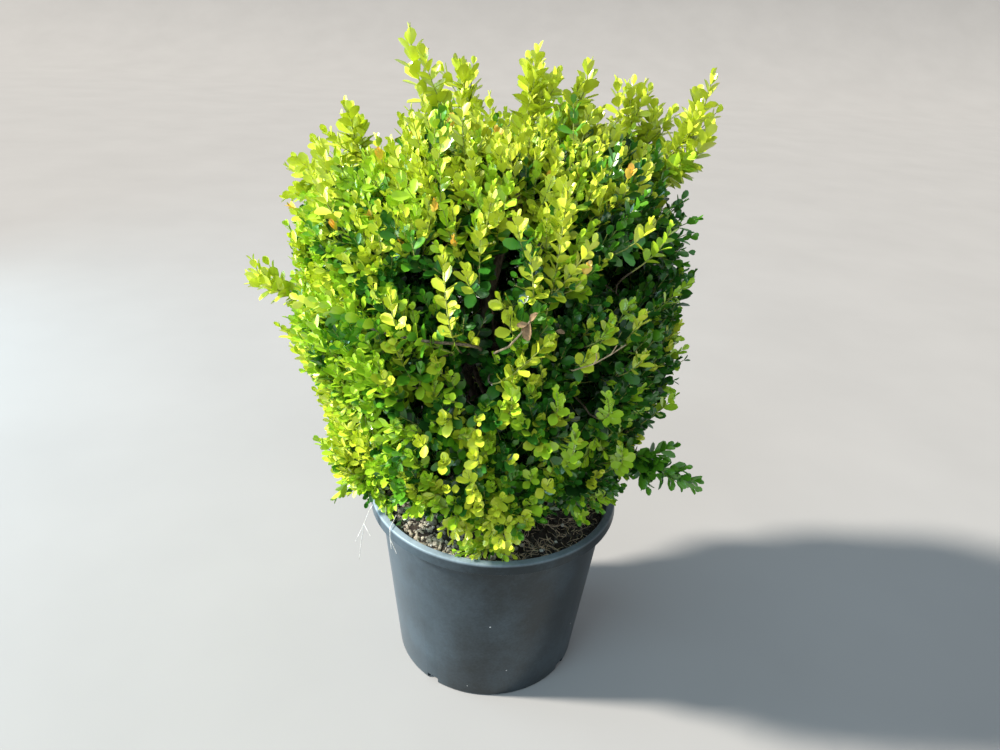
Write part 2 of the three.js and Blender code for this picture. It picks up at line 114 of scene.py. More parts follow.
# Limbs and masses: the sizes that the solids grow from, in millimetres and degrees
SEED = 20461
TRUNK_FOOT = 300.3
TRUNK_LENGTH = 84
TRUNK_TOP = TRUNK_FOOT + TRUNK_LENGTH
TRUNK_RADIUS = 20
TRUNK_TOP_RADIUS = 22
TRUNK_FLARE = 11
TRUNK_LEAN = 5
TRUNK_LOBES = 3
LEADER_FOOT = (13.2, -10)
LEADER_BENDS = ((34, 85), (84, 190))
MIDDLE_FORKS = (0.16, 0.26)
MIDDLE_SAG = 14
LOWER_FORKS = (34, 46)
LOWER_FOOT_RADIUS = 8
LOWER_BEND = (62, 26)
TOP_FORK = 0.34
TOP_ROUTE = ((-34, 14, 640), (-14, 4, 778))
TUFT_AZIMUTH = -84
TUFT_FORK = 16
TUFT_BEND = (70, 30)
TUFT_END = (10, -122, 344)
CLEARANCE = 0.3

CROWN_CENTRE_X = -18
CROWN_FOCUS_DROP = 130
CROWN_HEIGHTS = (330, 350, 455, 550, 630, 710, 790, 850, 895, 916, 920)
CROWN_RADII = (200, 236, 262, 284, 296, 292, 276, 244, 180, 90, 0)
SKIRT_RADII = (110, 165, 205, 240)
SKIRT_HEIGHTS = (440, 422, 386, 368)
TUFT_RADIUS = 186
TUFT_HEIGHT = 304
TUFT_SIDES = (-58, 34)

# The bark: ridges per metre across and along, the trunk's sides and step, and the radii of each stem
BARK_GRAIN = np.array([260, 260, 70])
TRUNK_MESH = (56, 0.0015)
STEM_RADII = (2.6, 1.6)

# Each ring: count, first azimuth, seed radius and height, bough's end radius and height, bough's radii
UPPER = ("upper", 5, -126, 158, 800, 108, 724, 7.6, 4.4)
MIDDLE = ("middle", 6, -120, 192, 620, 128, 566, 5.6, 3.8)
LOWER = ("lower", 6, -90, 172, 448, 108, 408, 5.4, 3.6)
TOP_SEED = (-10, 0, 852)
TOP_RADII = (5.2, 4)
TUFT_SEED = (12, -158, 346)
TUFT_RADII = (3.8, 2.6)

# The low spray at the right, and the tips of its short side shoots
LOW_SPRAY = (318, -62, 372)
LOW_SPRAY_TUFTS = (
    (257, -92, 463),
    (246, -92, 439),
    (281, -92, 428),
    (299, -92, 407),
    (273, -92, 402),
    (239, -92, 414),
    (229, -92, 392),
    (226, -92, 447),
    (253, -92, 421),
    (222, -92, 421),
)

# The tints in these tables are partly painted light: lime and yellow where the light falls on the top and
# left, mid and fresh on the shaded right and low down.
# Tips of the long shoots that make the outline: (tip, companions, old tint, new tint)
SHOOT_TIPS = (
    ((-139, -30, 995), 1, "lime", "yellow"),
    ((-212, -40, 904), 4, "lime", "yellow"),
    ((-272, 20, 808), 4, "lime", "yellow"),
    ((-75, 40, 958), 4, "lime", "yellow"),
    ((25, -60, 985), 4, "lime", "yellow"),
    ((93, -52, 972), 3, "lime", "yellow"),
    ((157, 40, 950), 4, "lime", "yellow"),
    ((258, 12, 966), 4, "lime", "yellow"),
    ((40, 190, 950), 4, "lime", "yellow"),
    ((-366, -20, 688), 5, "lime", "yellow"),
    (LOW_SPRAY, 0, "mid", "fresh"),
    ((-234, -70, 352), 4, "fresh", "lime"),
)

# Tips that fill in the outline between them, in the same form
SIDE_TIPS = (
    ((-314, -10, 776), 4, "lime", "yellow"),
    ((196, 60, 918), 3, "lime", "yellow"),
    ((262, -4, 898), 0, "lime", "yellow"),
    ((248, 10, 878), 0, "lime", "yellow"),
    ((238, -14, 862), 1, "fresh", "lime"),
)

# How far the crown's leaves reach to the front and back
FACE_REACH = (-281, 274)

# Shoots that stand out on the crown's face: (bend, tip, size of leaf, old tint, new tint)
FACE_SHOOTS = (
    ((50, -270, 714), (60, -240, 858), 1.05, "lime", "yellow"),
    ((34, -276, 742), (24, -278, 800), 1.0, "lime", "yellow"),
    ((54, -270, 748), (90, -256, 808), 0.95, "lime", "yellow"),
    ((-58, -278, 690), (-66, -282, 794), 1.0, "lime", "yellow"),
    ((-70, -282, 684), (-212, -236, 716), 1.05, "lime", "lime"),
    ((-117, -268, 682), (-122, -276, 744), 1.0, "lime", "yellow"),
    ((1, -288, 645), (52, -296, 704), 1.0, "lime", "yellow"),
    ((17, -284, 596), (14, -300, 652), 1.0, "fresh", "lime"),
    ((72, -272, 599), (65, -290, 640), 1.0, "fresh", "lime"),
    ((138, -238, 576), (125, -266, 630), 1.0, "fresh", "lime"),
    ((94, -248, 506), (92, -274, 585), 1.0, "mid", "lime"),
    ((172, -184, 476), (158, -224, 535), 1.0, "mid", "lime"),
    ((110, -260, 690), (118, -264, 724), 0.95, "fresh", "lime"),
    ((167, -206, 775), (185, -184, 808), 1.0, "mid", "lime"),
    ((76, -262, 752), (86, -264, 781), 0.85, "lime", "bronze"),
)

# The long branch that arches over the crown's left face, and the leader in the opening at its middle
ARCHING_BRANCH = ((-52, -264, 686), (-118, -293, 696), (-190, -246, 702), (-256, -172, 694))
ARCHING_FOOT = (-36, -214, 660)
LEADER_FORK = 0.5
LEADER_ROUTE = ((-34, -120, 612), (-22, -164, 690), (-6, -170, 770), (8, -172, 838))
LEADER_RADII = (6.4, 4.6)

# Tips of short shoots with bright young leaves against the dark ones below; their yellow is partly painted
# light
ROSETTES = (
    (52, -280, 701),
    (-5, -280, 748),
    (8, -281, 730),
    (-41, -281, 778),
    (21, -281, 674),
    (38, -281, 654),
    (9, -281, 648),
    (16, -281, 618),
    (-23, -281, 577),
    (-26, -278, 549),
    (-62, -274, 537),
    (-31, -270, 514),
    (-26, -262, 486),
    (11, -262, 477),
    (68, -262, 503),
    (51, -272, 575),
    (-63, -276, 596),
    (-92, -268, 560),
    (9, -276, 835),
    (150, -240, 826),
    (100, -266, 683),
    (118, -262, 716),
    (158, -240, 722),
    (170, -228, 668),
    (-40, -196, 372),
    (14, -196, 352),
    (24, -178, 334),
)

# Pale straws that lean out over the rim from the potting mix
RIM_STRAWS = (
    ((-168, -52, 292), (-184, -59, 318), (-195, -68, 300), (-203, -75, 278), (-216, -84, 249)),
    ((-203, -75, 278), (-207, -82, 250), (-210, -90, 218)),
    ((-203, -75, 278), (-198, -82, 274), (-190, -92, 268)),
    ((-138, -86, 293), (-147, -104, 320), (-152, -132, 318), (-151, -139, 305), (-149, -141, 286)),
    ((-151, -139, 303), (-145, -145, 294), (-140, -149, 284)),
)

# Dry leaves: (place, direction, face, length). The bare twig: its forks and their thickness
DRY_LEAVES = (
    ((29, -285, 726), (0.3, -0.3, 0.9), (-0.8, -0.7, 0.3), 13),
    ((29, -285, 727), (-0.25, -0.25, -1.0), (-0.5, -0.8, 0.2), 23),
    ((27, -286, 724), (-1.0, -0.3, -0.1), (0.1, -0.9, 0.5), 12),
    ((58, -276, 713), (1.0, -0.3, 0.1), (0.2, -0.7, 0.7), 10),
)
BARE_TWIG = (
    (((66, -214, 640), (84, -252, 655), (104, -272, 674), (122, -274, 688), (138, -266, 697)), 1.05),
    (((104, -272, 674), (106, -279, 684), (104, -283, 692)), 0.8),
    (((122, -274, 688), (127, -275, 700)), 0.7),
    (((-8, -262, 676), (8, -282, 694), (20, -284, 711), (29, -285, 727)), 1.5),
)

# Places on the crown's face where it opens onto dark wood, as seen from EYE: (x, y, z, radius, depth)
EYE = (0, -1030, 1030)
OPENINGS = (
    (3, -270, 806, 14, 165),
    (-4, -272, 786, 14, 165),
    (-10, -274, 765, 14, 165),
    (-20, -276, 742, 16, 165),
    (-40, -276, 748, 16, 165),
    (-6, -278, 706, 18, 165),
    (-27, -280, 638, 20, 120),
    (-96, -276, 617, 18, 80),
    (-98, -262, 758, 14, 60),
    (-76, -270, 535, 16, 60),
    (42, -270, 544, 18, 60),
    (104, -262, 628, 20, 80),
    (-46, -262, 503, 14, 60),
    (134, -232, 762, 26, 100),
    (182, -188, 780, 20, 60),
    (60, -270, 740, 12, 100),
    (-72, -170, 338, 24, 80),
    (62, -165, 350, 20, 70),
    (86, -160, 356, 20, 70),
)
OPENING_MOUTHS = np.array([place[:3] for place in OPENINGS], float)
OPENING_RADII = np.array([place[3] for place in OPENINGS], float)
OPENING_DEPTHS = np.array([place[4] for place in OPENINGS], float)
OPENING_FRONT = 60
SHADE_REACH = 2.1

# The crown's top outline from the front: places across it and the height that its leaves keep under
TOP_PLACES = (-330, -275, -236, -205, -168, -150, -118, 150, 240, 330)
TOP_HEIGHTS = (775, 792, 818, 822, 826, 852, 878, 878, 850, 820)
TOP_FALL = 0.13
RIGHT_TRIM = 17

# Twigs and shoots, finer than the solids' own but grown by the same rule
TWIG_SPREAD = 98
TWIG_LIFT = 0.3
TWIG_REACH = 170
TIP_DEPTH = 14
SHORTEST_TWIG = 20
SPACE_MARGIN = 1
BRANCHES_PER_MASS = 26
SHOOT_SPACING = 16
SHOOT_LEAN = 44
SHOOT_LENGTH = (46, 96)
SURFACE_RAYS = 1300
RAY_SPREAD = 1.35
RAY_STEPS = np.arange(4, 300, 4.0)
TIP_SPACING = 18
TIP_SHOOT = 82
DEEPEST_TIP = 26
LUMP = 13

# Above the underside, a ray that ends deeper than this has met a neighbour and not the surface
INNER_DEPTH = 34 + 2 * LUMP
UNDERSIDE = 420

# Of the shoots at the crown's top and sides, the share that stands proud, by how much and how much more
TOP_ABOVE = 800
PROUD_TOP = (0.2, 16, 30)
PROUD_SIDE = (0.1, 6, 14)
LONGEST_TIP_SHOOT = 1.9

# Branches of a mass: where they fork from its stem, their radii, bare share and depth under the surface
STEM_FORKS = (0.94, 0.5)
BRANCH_LOOK = ((1.9, 0.9), 0.55)
BRANCH_DEPTH = (28, 8)
FIRST_SHOOT = 0.22
LAST_LEAF = 9

# What the leaves keep clear of, the middle that the crown faces away from, and where the light is
POT_CLEARANCE = 5
POT_TOP = 315
SOIL_TOP = 302
SOIL_RADIUS = 184
CROWN_MIDDLE = 580
# LIGHT_FROM lights nothing: it is where the painted light on the leaves' tints comes from.
LIGHT_FROM = (-0.88, -0.14, 0.46)

# Long shoots: radii, share of new leaves, size of leaf, and the length at their tip that has leaves.
# Shoots that fork from them: radii, bare share, share of new leaves, size of leaf, and each fork's place
# along the long one with its length
LONG_SHOOT = ((2.1, 1.0), 0.8, 1.36)
LONG_SHOOT_LEAFY = 170
COMPANION = ((1.1, 0.6), 0.1, 0.9, 1.22)
COMPANION_LEAN = 26
COMPANION_FORKS = ((0.42, 84), (0.5, 66), (0.58, 58), (0.66, 44), (0.74, 32))
LOW_SPRAY_SHOOT = ((1.1, 0.6), 0.1, 0.5, 1.25)

# Leaves: each kind's width as a share of the set one, its widest place, fold and curl
LEAF_SHAPES = {"old": (1.0, 0.56, 0.2, 0.1), "new": (0.95, 0.62, 0.34, -0.08)}
LEAF_HABITS = {
    "old": {"First Opening": 0.9, "Opening Step": 0.04, "Widest Opening": 1.15, "Tip Size": 0.9},
    "new": {"First Opening": 0.4, "Opening Step": 0.15, "Widest Opening": 1.0, "Tip Size": 0.58},
}
LEAF_DISORDER = {"Size Variation": 0.16, "Turn To Light": 0.3, "Untidiness": 0.55}
NEW_PAIR_GROWTH = 0.16

# Lengths along a shoot: a bronze tip, the gap between ages, the shortest run of leaves, and mesh steps
BRONZE_TIP = 7
AGE_GAP = 8
SHORTEST_RUN = 5
LEAF_STEP = 12
TWIG_STEP = 16

# The leaves' tints, darkest first: dealt by age and by painted light and shade.
TINTS = ("deep", "mid", "fresh", "lime", "yellow", "bronze")


def polar(azimuth, radius, height):
    angle = math.radians(azimuth)
    return np.array([radius * math.cos(angle), radius * math.sin(angle), height], float)


def crown_polar(azimuth, radius, height):
    return polar(azimuth, radius, height) + (CROWN_CENTRE_X, 0, 0)


def unit(vector):
    return vector / np.linalg.norm(vector)


def between(one, other, angle):
    """The direction at an angle from one towards another that is square to it."""
    return one * math.cos(angle) + other * math.sin(angle)


def across_from(axis):
    reference = UP if abs(axis[2]) < 0.9 else np.array([1.0, 0.0, 0.0])
    side = unit(np.cross(axis, reference))
    return side, np.cross(axis, side)


def turned(axis, turn, lean):
    """The direction that leans away from an axis, at a turn round it."""
    u, v = across_from(axis)
    return between(axis, between(u, v, turn), lean)


def nearest(points, place):
    return points[np.argmin(np.linalg.norm(points - place, axis=1))]


def fade(value, start, full):
    """0 up to the start, 1 from where it is full, and in line between them."""
    return min(max((value - start) / (full - start), 0), 1)


def seeded(seed):
    """The same run of numbers from 0 to 1 as the solids are grown by."""
    state = seed & 0xFFFFFFFF

    def draw():
        nonlocal state
        state = (state + 0x6D2B79F5) & 0xFFFFFFFF
        mixed = ((state ^ (state >> 15)) * (state | 1)) & 0xFFFFFFFF
        mixed ^= (mixed + (((mixed ^ (mixed >> 7)) * (mixed | 61)) & 0xFFFFFFFF)) & 0xFFFFFFFF
        return ((mixed ^ (mixed >> 14)) & 0xFFFFFFFF) / 4294967296

    return draw


class Path:
    """A Bezier curve measured along its length."""

    def __init__(self, *corners, samples=160):
        share = np.linspace(0, 1, samples + 1)[:, None]
        degree = len(corners) - 1
        weights = [math.comb(degree, i) * share**i * (1 - share) ** (degree - i) for i in range(degree + 1)]
        self.points = sum(w * np.asarray(c, float) for w, c in zip(weights, corners))
        steps = np.linalg.norm(np.diff(self.points, axis=0), axis=1)
        self.reached = np.concatenate([[0], np.cumsum(steps)])
        self.length = self.reached[-1]

    def at(self, share):
        along = np.clip(share, 0, 1) * self.length
        return np.stack([np.interp(along, self.reached, self.points[:, i]) for i in range(3)], -1)

    def tangent(self, share):
        step = 0.5 / len(self.points)
        low, high = max(share - step, 0), min(share + step, 1)
        return unit(self.at(high) - self.at(low))


# The plan of limbs and masses

class Mass:
    """One mass of foliage: the bough that carries it and the seed that its space is nearest to."""

    def __init__(self, name, ring, seed, bough, branches):
        self.name = name
        self.ring = ring
        self.seed = np.asarray(seed, float)
        self.bough = bough
        self.branches = branches
        self.node = f"foliage_{name}"
        inner = np.array([CROWN_CENTRE_X, 0, self.seed[2] - CROWN_FOCUS_DROP])
        self.outward = unit(self.seed - inner)
        along = bough.tangent(1)
        foot = bough.at(1) + along * CLEARANCE
        elbow = foot + along * 0.45 * np.linalg.norm(foot - self.seed)
        self.stem = Path(foot, elbow, self.seed)


@lru_cache(maxsize=1)
def plan():
    """The limbs as (name, path, base radius, tip radius), and the masses in the solids' own order."""
    limbs = []
    masses = []
    leaders = []
    trunk_top = np.array([0, 0, TRUNK_TOP], float)

    def grow(name, ring, seed, path, radii, branches):
        limbs.append((f"bough_{name}", path, *radii))
        masses.append(Mass(name, ring, seed, path, branches))

    def leader_path(azimuth, end, _):
        foot = polar(azimuth, LEADER_FOOT[0], TRUNK_TOP + LEADER_FOOT[1])
        low = polar(azimuth, LEADER_BENDS[0][0], TRUNK_TOP + LEADER_BENDS[0][1])
        high = crown_polar(azimuth, LEADER_BENDS[1][0], TRUNK_TOP + LEADER_BENDS[1][1])
        leaders.append(Path(foot, low, high, end))
        return leaders[-1]

    def middle_path(azimuth, end, i):
        turns = math.floor((azimuth - UPPER[2]) * UPPER[1] / 360 + 0.5)
        foot = leaders[turns % UPPER[1]].at(MIDDLE_FORKS[i % 2])
        elbow = foot + 0.55 * (end - foot) - UP * MIDDLE_SAG
        return Path(foot, elbow, end)

    def lower_path(azimuth, end, i):
        foot = polar(azimuth, LOWER_FOOT_RADIUS, TRUNK_FOOT + LOWER_FORKS[i % 2])
        elbow = polar(azimuth, LOWER_BEND[0], foot[2] + LOWER_BEND[1])
        return Path(foot, elbow, end)

    for ring, route in ((UPPER, leader_path), (MIDDLE, middle_path), (LOWER, lower_path)):
        name, count, first, seed_radius, seed_height, end_radius, end_height, base, tip = ring
        for i in range(count):
            azimuth = first + 360 * i / count
            path = route(azimuth, crown_polar(azimuth, end_radius, end_height), i)
            seed = crown_polar(azimuth, seed_radius, seed_height)
            grow(f"{name}_{i + 1}", name, seed, path, (base, tip), BRANCHES_PER_MASS)
    top = Path(leaders[4].at(TOP_FORK), *TOP_ROUTE)
    grow("top", "upper", TOP_SEED, top, TOP_RADII, BRANCHES_PER_MASS)
    foot = polar(TUFT_AZIMUTH, LOWER_FOOT_RADIUS, TRUNK_FOOT + TUFT_FORK)
    elbow = polar(TUFT_AZIMUTH, TUFT_BEND[0], foot[2] + TUFT_BEND[1])
    grow("front_tuft", "lower", TUFT_SEED, Path(foot, elbow, TUFT_END), TUFT_RADII, 14)
    third = UP * TRUNK_LENGTH / 3
    trunk_foot = np.array([-TRUNK_LEAN, 0, TRUNK_FOOT], float)
    trunk = Path(trunk_foot, trunk_foot + third, trunk_top - third, trunk_top)
    return trunk, limbs, masses


# The crown's space

def lumps(points):
    """A slow swell of the crown's outline, in millimetres."""
    x, y, z = points[..., 0], points[..., 1], points[..., 2]
    wave = np.sin(x / 31 + 0.6) * np.sin(y / 27 - 1.1) + np.sin(z / 29 + x / 57) * np.cos(y / 43)
    return LUMP * (wave - 0.9)


def in_crown(points, mass):
    across, z = points[..., 0], points[..., 2]
    x = across - CROWN_CENTRE_X
    radius = np.hypot(x, points[..., 1])
    if mass.name == "front_tuft":
        between_sides = (across > TUFT_SIDES[0]) & (across < TUFT_SIDES[1])
        return (radius < TUFT_RADIUS) & (z > TUFT_HEIGHT) & between_sides
    outline = np.interp(z, CROWN_HEIGHTS, CROWN_RADII, left=-1, right=-1)
    outline = outline - RIGHT_TRIM * np.maximum(x / np.maximum(radius, 1), 0) ** 2
    beside = radius < outline + lumps(points)
    over_skirt = z > np.interp(radius, SKIRT_RADII, SKIRT_HEIGHTS)
    under_top = z + TOP_FALL * points[..., 1] < np.interp(across, TOP_PLACES, TOP_HEIGHTS)
    return beside & over_skirt & under_top


def in_own_space(points, mass, margin=SPACE_MARGIN):
    inside = np.ones(points.shape[:-1], bool)
    for other in plan()[2]:
        if other is mass:
            continue
        towards = other.seed - mass.seed
        apart = np.linalg.norm(towards)
        inside &= (points - mass.seed) @ towards / apart < apart / 2 - margin
    return inside


def clear_of_pot(points):
    over_soil = np.hypot(points[..., 0], points[..., 1]) < SOIL_RADIUS
    return points[..., 2] > np.where(over_soil, SOIL_TOP, POT_TOP) + POT_CLEARANCE


def open_length(root, direction, mass, most, depth, margin=SPACE_MARGIN):
    """How far a twig may go and stay in the mass's space, deep in the crown and over the pot."""
    step = 3
    lengths = np.arange(1, int(most / step) + 1) * step
    points = root + lengths[:, None] * direction
    ahead = points + depth * direction
    free = in_crown(ahead, mass) & in_own_space(points, mass, margin) & clear_of_pot(ahead)
    return most if free.all() else float(step * np.argmin(free))


def from_openings(points):
    """How far points lie from each opening's middle line, as shares of its radius."""
    inward = OPENING_MOUTHS - EYE
    inward = inward / np.linalg.norm(inward, axis=1)[:, None]
    offset = np.atleast_2d(points)[:, None, :] - OPENING_MOUTHS
    along = np.einsum("nmk,mk->nm", offset, inward)
    apart = np.linalg.norm(offset - along[..., None] * inward, axis=2) / OPENING_RADII
    return np.where((along > -OPENING_FRONT) & (along < OPENING_DEPTHS), apart, np.inf)


def in_opening(points):
    return bool((from_openings(points) < 1).any())


# Shoots

@dataclass
class Shoot:
    """One twig: its path and radii, where its leaves begin, their old and new tints and their size."""

    ring: str
    path: Path
    radii: tuple
    bare: float
    tints: tuple
    new_share: float
    leaf_size: float


def outline_depth(point):
    """How far a point lies inside the crown's lumpy outline, in millimetres."""
    radius = math.hypot(point[0] - CROWN_CENTRE_X, point[1])
    side = np.interp(point[2], CROWN_HEIGHTS, CROWN_RADII) - radius
    return min(side, CROWN_HEIGHTS[-1] - point[2]) + lumps(point)


def pick(draw, weights):
    chosen = draw() * sum(weights)
    for tint, weight in zip(TINTS, weights):
        chosen -= weight
        if chosen <= 0:
            return tint
    return TINTS[0]


def outward_from_crown(point, rise=0.5):
    """The direction that the crown's surface faces near a point."""
    return unit(np.array([point[0] - CROWN_CENTRE_X, point[1], rise * (point[2] - CROWN_MIDDLE)]))


# Painted light and shade: this brightness lights nothing, it only deals the leaves' tints. Facing LIGHT_FROM,
# the top, the patches, low and low_middle paint light; right_middle, dark_middle and the openings paint
# shade.
def sunlight(tip, top):
    """How bright the light falls on a tip, up to 1: stronger and weaker where the photo has it so."""
    x, y, z = tip
    facing = outward_from_crown(tip, 0.8) @ np.array(LIGHT_FROM)
    patch = math.sin(x / 23 + 1) * math.sin(z / 21 + y / 37)
    face = fade(y, -90, -180)
    low = fade(z, 600, 480) * max(fade(x, 120, 0), 0.2)
    low_middle = face * fade(z, 640, 560) * fade(abs(x), 110, 60)
    right_middle = face * fade(x, 60, 120) * fade(abs(z - 720), 126, 36)
    dark_middle = face * fade(x, -215, -155) * max(fade(x, 20, -60), 0.2) * math.exp(-(((z - 745) / 80) ** 2))
    sun = min(max(0.3 + 0.9 * facing + 0.28 * patch + 0.45 * top, 0.1), 1)
    sun += 0.36 * low + 0.24 * low_middle - 0.24 * right_middle
    sun *= 1 - 0.5 * dark_middle
    sun *= 1 - 0.8 * math.exp(-((from_openings(tip).min() / SHADE_REACH) ** 2))
    return min(max(sun, 0.05), 1), low_middle


def spray_look(tip, draw):
    """The old and new tints of one spray, and its share of new leaves: painted light and shade, paler tints
    and more new leaves towards the painted light, darker tints in the painted shade.
    """
    x, y, z = tip
    top = fade(z, 760, 860)
    out = min(max(1.1 - outline_depth(tip) / (50 + 60 * top), 0), 1)
    sun, low_middle = sunlight(tip, top)
    # Painted light: the front tuft's sprays are dealt tints as if lit.
    if y < -110 and z < 400 and TUFT_SIDES[0] < x < TUFT_SIDES[1]:
        out, sun = 1, 0.8
    lit = out * sun
    bright = lit * lit
    dim = 1 - lit
    young = out * (0.2 + 0.8 * sun)
    amber = 0.16 * lit if z > 760 else 0
    # More yellow at the top and low on the left, less high on the left: partly painted light.
    low_left = fade(x, -110, -190) * fade(z, 610, 530)
    high_left = fade(x, -50, -120) * fade(z, 720, 780)
    gold = 1.1 + 1.6 * fade(z, 640, 860) + max(0.9 * low_left, 0.6 * low_middle) - 0.7 * high_left
    new_weights = (
        0.5 * (1 - out),
        1.3 * (1 - young),
        0.6 - 0.5 * bright,
        (3.3 - gold) * young,
        gold * young**1.6,
        amber,
    )
    old_weights = (0.8 * dim, 1.1 * dim, 0.15 + 0.7 * lit, 1.6 * bright, 0.9 * bright**2 * top, 0)
    new = pick(draw, new_weights)
    old = pick(draw, old_weights)
    return (old, new), 0.3 + 0.3 * lit


def add_shoot(
    shoots,
    mass,
    root,
    tip,
    bend,
    draw,
    radii=(1.0, 0.6),
    bare=0.2,
    new_share=None,
    size=1.0,
    tints=None,
    out=0.55,
):
    """One shoot from its root to its tip, through an elbow that goes out first and then up."""
    tip = np.array([tip[0], np.clip(tip[1], *FACE_REACH), tip[2]])
    rise = 0.55 if out < 0.9 else 0.38
    elbow = root + np.array([out, out, rise]) * (tip - root) - UP * bend * np.linalg.norm(tip - root)
    path = Path(root, elbow, tip, samples=16)
    size *= 0.86 + 0.28 * draw()
    own_tints, own_share = spray_look(tip, draw)
    if tints is None and in_opening(path.at(np.linspace(bare, 1, 6))):
        if radii[0] < 1.5:
            return path
        bare = 1.0
    shoots.append(Shoot(mass.ring, path, radii, bare, tints or own_tints, new_share or own_share, size))
    return path


def side_shoots(shoots, mass, branch, draw, phase):
    """Leafy shoots turned by the golden angle along a branch, each reaching for the crown's surface."""
    shortest, longest = SHOOT_LENGTH
    count = int(branch.length * (1 - FIRST_SHOOT) / SHOOT_SPACING)
    for j in range(count):
        share = FIRST_SHOOT + (1 - FIRST_SHOOT) * (j + 0.5) / count
        lean = math.radians(SHOOT_LEAN * (0.8 + 0.4 * draw()))
        direction = turned(branch.tangent(share), phase + j * GOLDEN_ANGLE, lean)
        direction = unit(direction + mass.outward * 0.25 + UP * 0.35)
        root = branch.at(share)
        most = shortest + (longest - shortest) * draw()
        depth = TIP_DEPTH * (0.2 + 1.6 * draw())
        length = open_length(root, direction, mass, most, depth)
        if length >= SHORTEST_TWIG:
            add_shoot(shoots, mass, root, root + direction * length, 0.1, draw)


def companions(shoots, mass, shoot, draw, count, tints):
    """Shorter upright shoots that fork from a long one where it leaves the crown."""
    phase = draw() * FULL_TURN
    for k, (share, length) in enumerate(COMPANION_FORKS[:count]):
        direction = turned(shoot.tangent(share), phase + k * GOLDEN_ANGLE, math.radians(COMPANION_LEAN))
        root = shoot.at(share)
        tip = root + unit(direction + UP * 0.3) * length * (0.85 + 0.3 * draw())
        add_shoot(shoots, mass, root, tip, 0.12, draw, *COMPANION, tints)


def face_shoots(shoots, mass, wood):
    """What stands out on the crown's face: shoots through their bends, the arching branch, rosettes."""
    for bend, tip, leaf_size, old, new in FACE_SHOOTS:
        bend, tip = np.array(bend, float), np.array(tip, float)
        tip[1] = max(tip[1], FACE_REACH[0])
        if not in_own_space(bend, mass, 0):
            continue
        outward = outward_from_crown(bend)
        root = nearest(wood, bend - 40 * outward - UP * 12)
        deep = bend - 60 * outward - 0.3 * (tip - bend)
        path = Path(root, deep, 1.5 * bend - 0.25 * (deep + tip), tip, samples=24)
        bare = 1 - 1.1 * np.linalg.norm(tip - bend) / path.length
        shoots.append(Shoot(mass.ring, path, (1.5, 0.8), bare, (old, new), 0.6, leaf_size))
    if in_own_space(np.array(ARCHING_BRANCH[0], float), mass, 0):
        arch = Path(*ARCHING_BRANCH, samples=40)
        root = nearest(wood, ARCHING_FOOT)
        foot = Path(root, 2 * arch.at(0) - arch.at(0.2), arch.at(0), samples=16)
        shoots.append(Shoot(mass.ring, foot, (2.2, 2.0), 1.0, ("mid", "mid"), 0, 1))
        shoots.append(Shoot(mass.ring, arch, (2.0, 1.2), 1.0, ("mid", "mid"), 0, 1))
        shoots.append(Shoot(mass.ring, arch, (1.0, 0.9), 0.06, ("fresh", "yellow"), 0.35, 0.96))
    for place in ROSETTES:
        tip = np.array(place, float)
        if not in_own_space(tip, mass, 0):
            continue
        outward = outward_from_crown(tip)
        root = nearest(wood, tip - 46 * outward - UP * 34)
        path = Path(root, tip - 12 * outward - UP * 26, tip, samples=24)
        share = min(0.6, 30 / path.length)
        shoots.append(Shoot(mass.ring, path, (1.1, 0.7), 0.3, ("mid", "yellow"), share, 1.12))


def surface_shoots(shoots, mass, wood, draw):
    """Shoots whose tips cover the crown's surface evenly, each rising from the branch below it."""
    u, v = across_from(mass.outward)
    shares = (np.arange(SURFACE_RAYS) + 0.5) / SURFACE_RAYS
    cosine = 1 - shares * RAY_SPREAD
    turns = np.arange(SURFACE_RAYS) * GOLDEN_ANGLE + draw() * FULL_TURN
    sine = np.sqrt(1 - cosine**2)
    rays = cosine[:, None] * mass.outward
    rays = rays + sine[:, None] * (np.cos(turns)[:, None] * u + np.sin(turns)[:, None] * v)
    points = mass.seed + RAY_STEPS[None, :, None] * rays[:, None, :]
    free = in_crown(points, mass) & in_own_space(points, mass, 0) & clear_of_pot(points)
    reached = RAY_STEPS[np.maximum(np.argmin(free, axis=1) - 1, 0)]
    tips = np.zeros((0, 3))
    for ray, length in zip(rays, reached):
        surface = mass.seed + ray * length
        if outline_depth(surface) > INNER_DEPTH and surface[2] > UNDERSIDE:
            continue
        if len(tips) and np.min(np.linalg.norm(tips - surface, axis=1)) < TIP_SPACING:
            continue
        tips = np.concatenate([tips, surface[None]])
        outward = outward_from_crown(surface)
        tip = surface - outward * DEEPEST_TIP * draw() ** 2
        if surface[2] > TOP_ABOVE and draw() < PROUD_TOP[0]:
            tip = tip + UP * (PROUD_TOP[1] + PROUD_TOP[2] * draw())
        elif draw() < PROUD_SIDE[0]:
            tip = tip + unit(outward + UP) * (PROUD_SIDE[1] + PROUD_SIDE[2] * draw())
        below = tip - TIP_SHOOT * (0.7 + 0.6 * draw()) * unit(outward * 0.55 + UP * 0.7)
        root = nearest(wood, below)
        if SHORTEST_TWIG < np.linalg.norm(tip - root) < LONGEST_TIP_SHOOT * TIP_SHOOT:
            add_shoot(shoots, mass, root, tip, 0.13, draw)


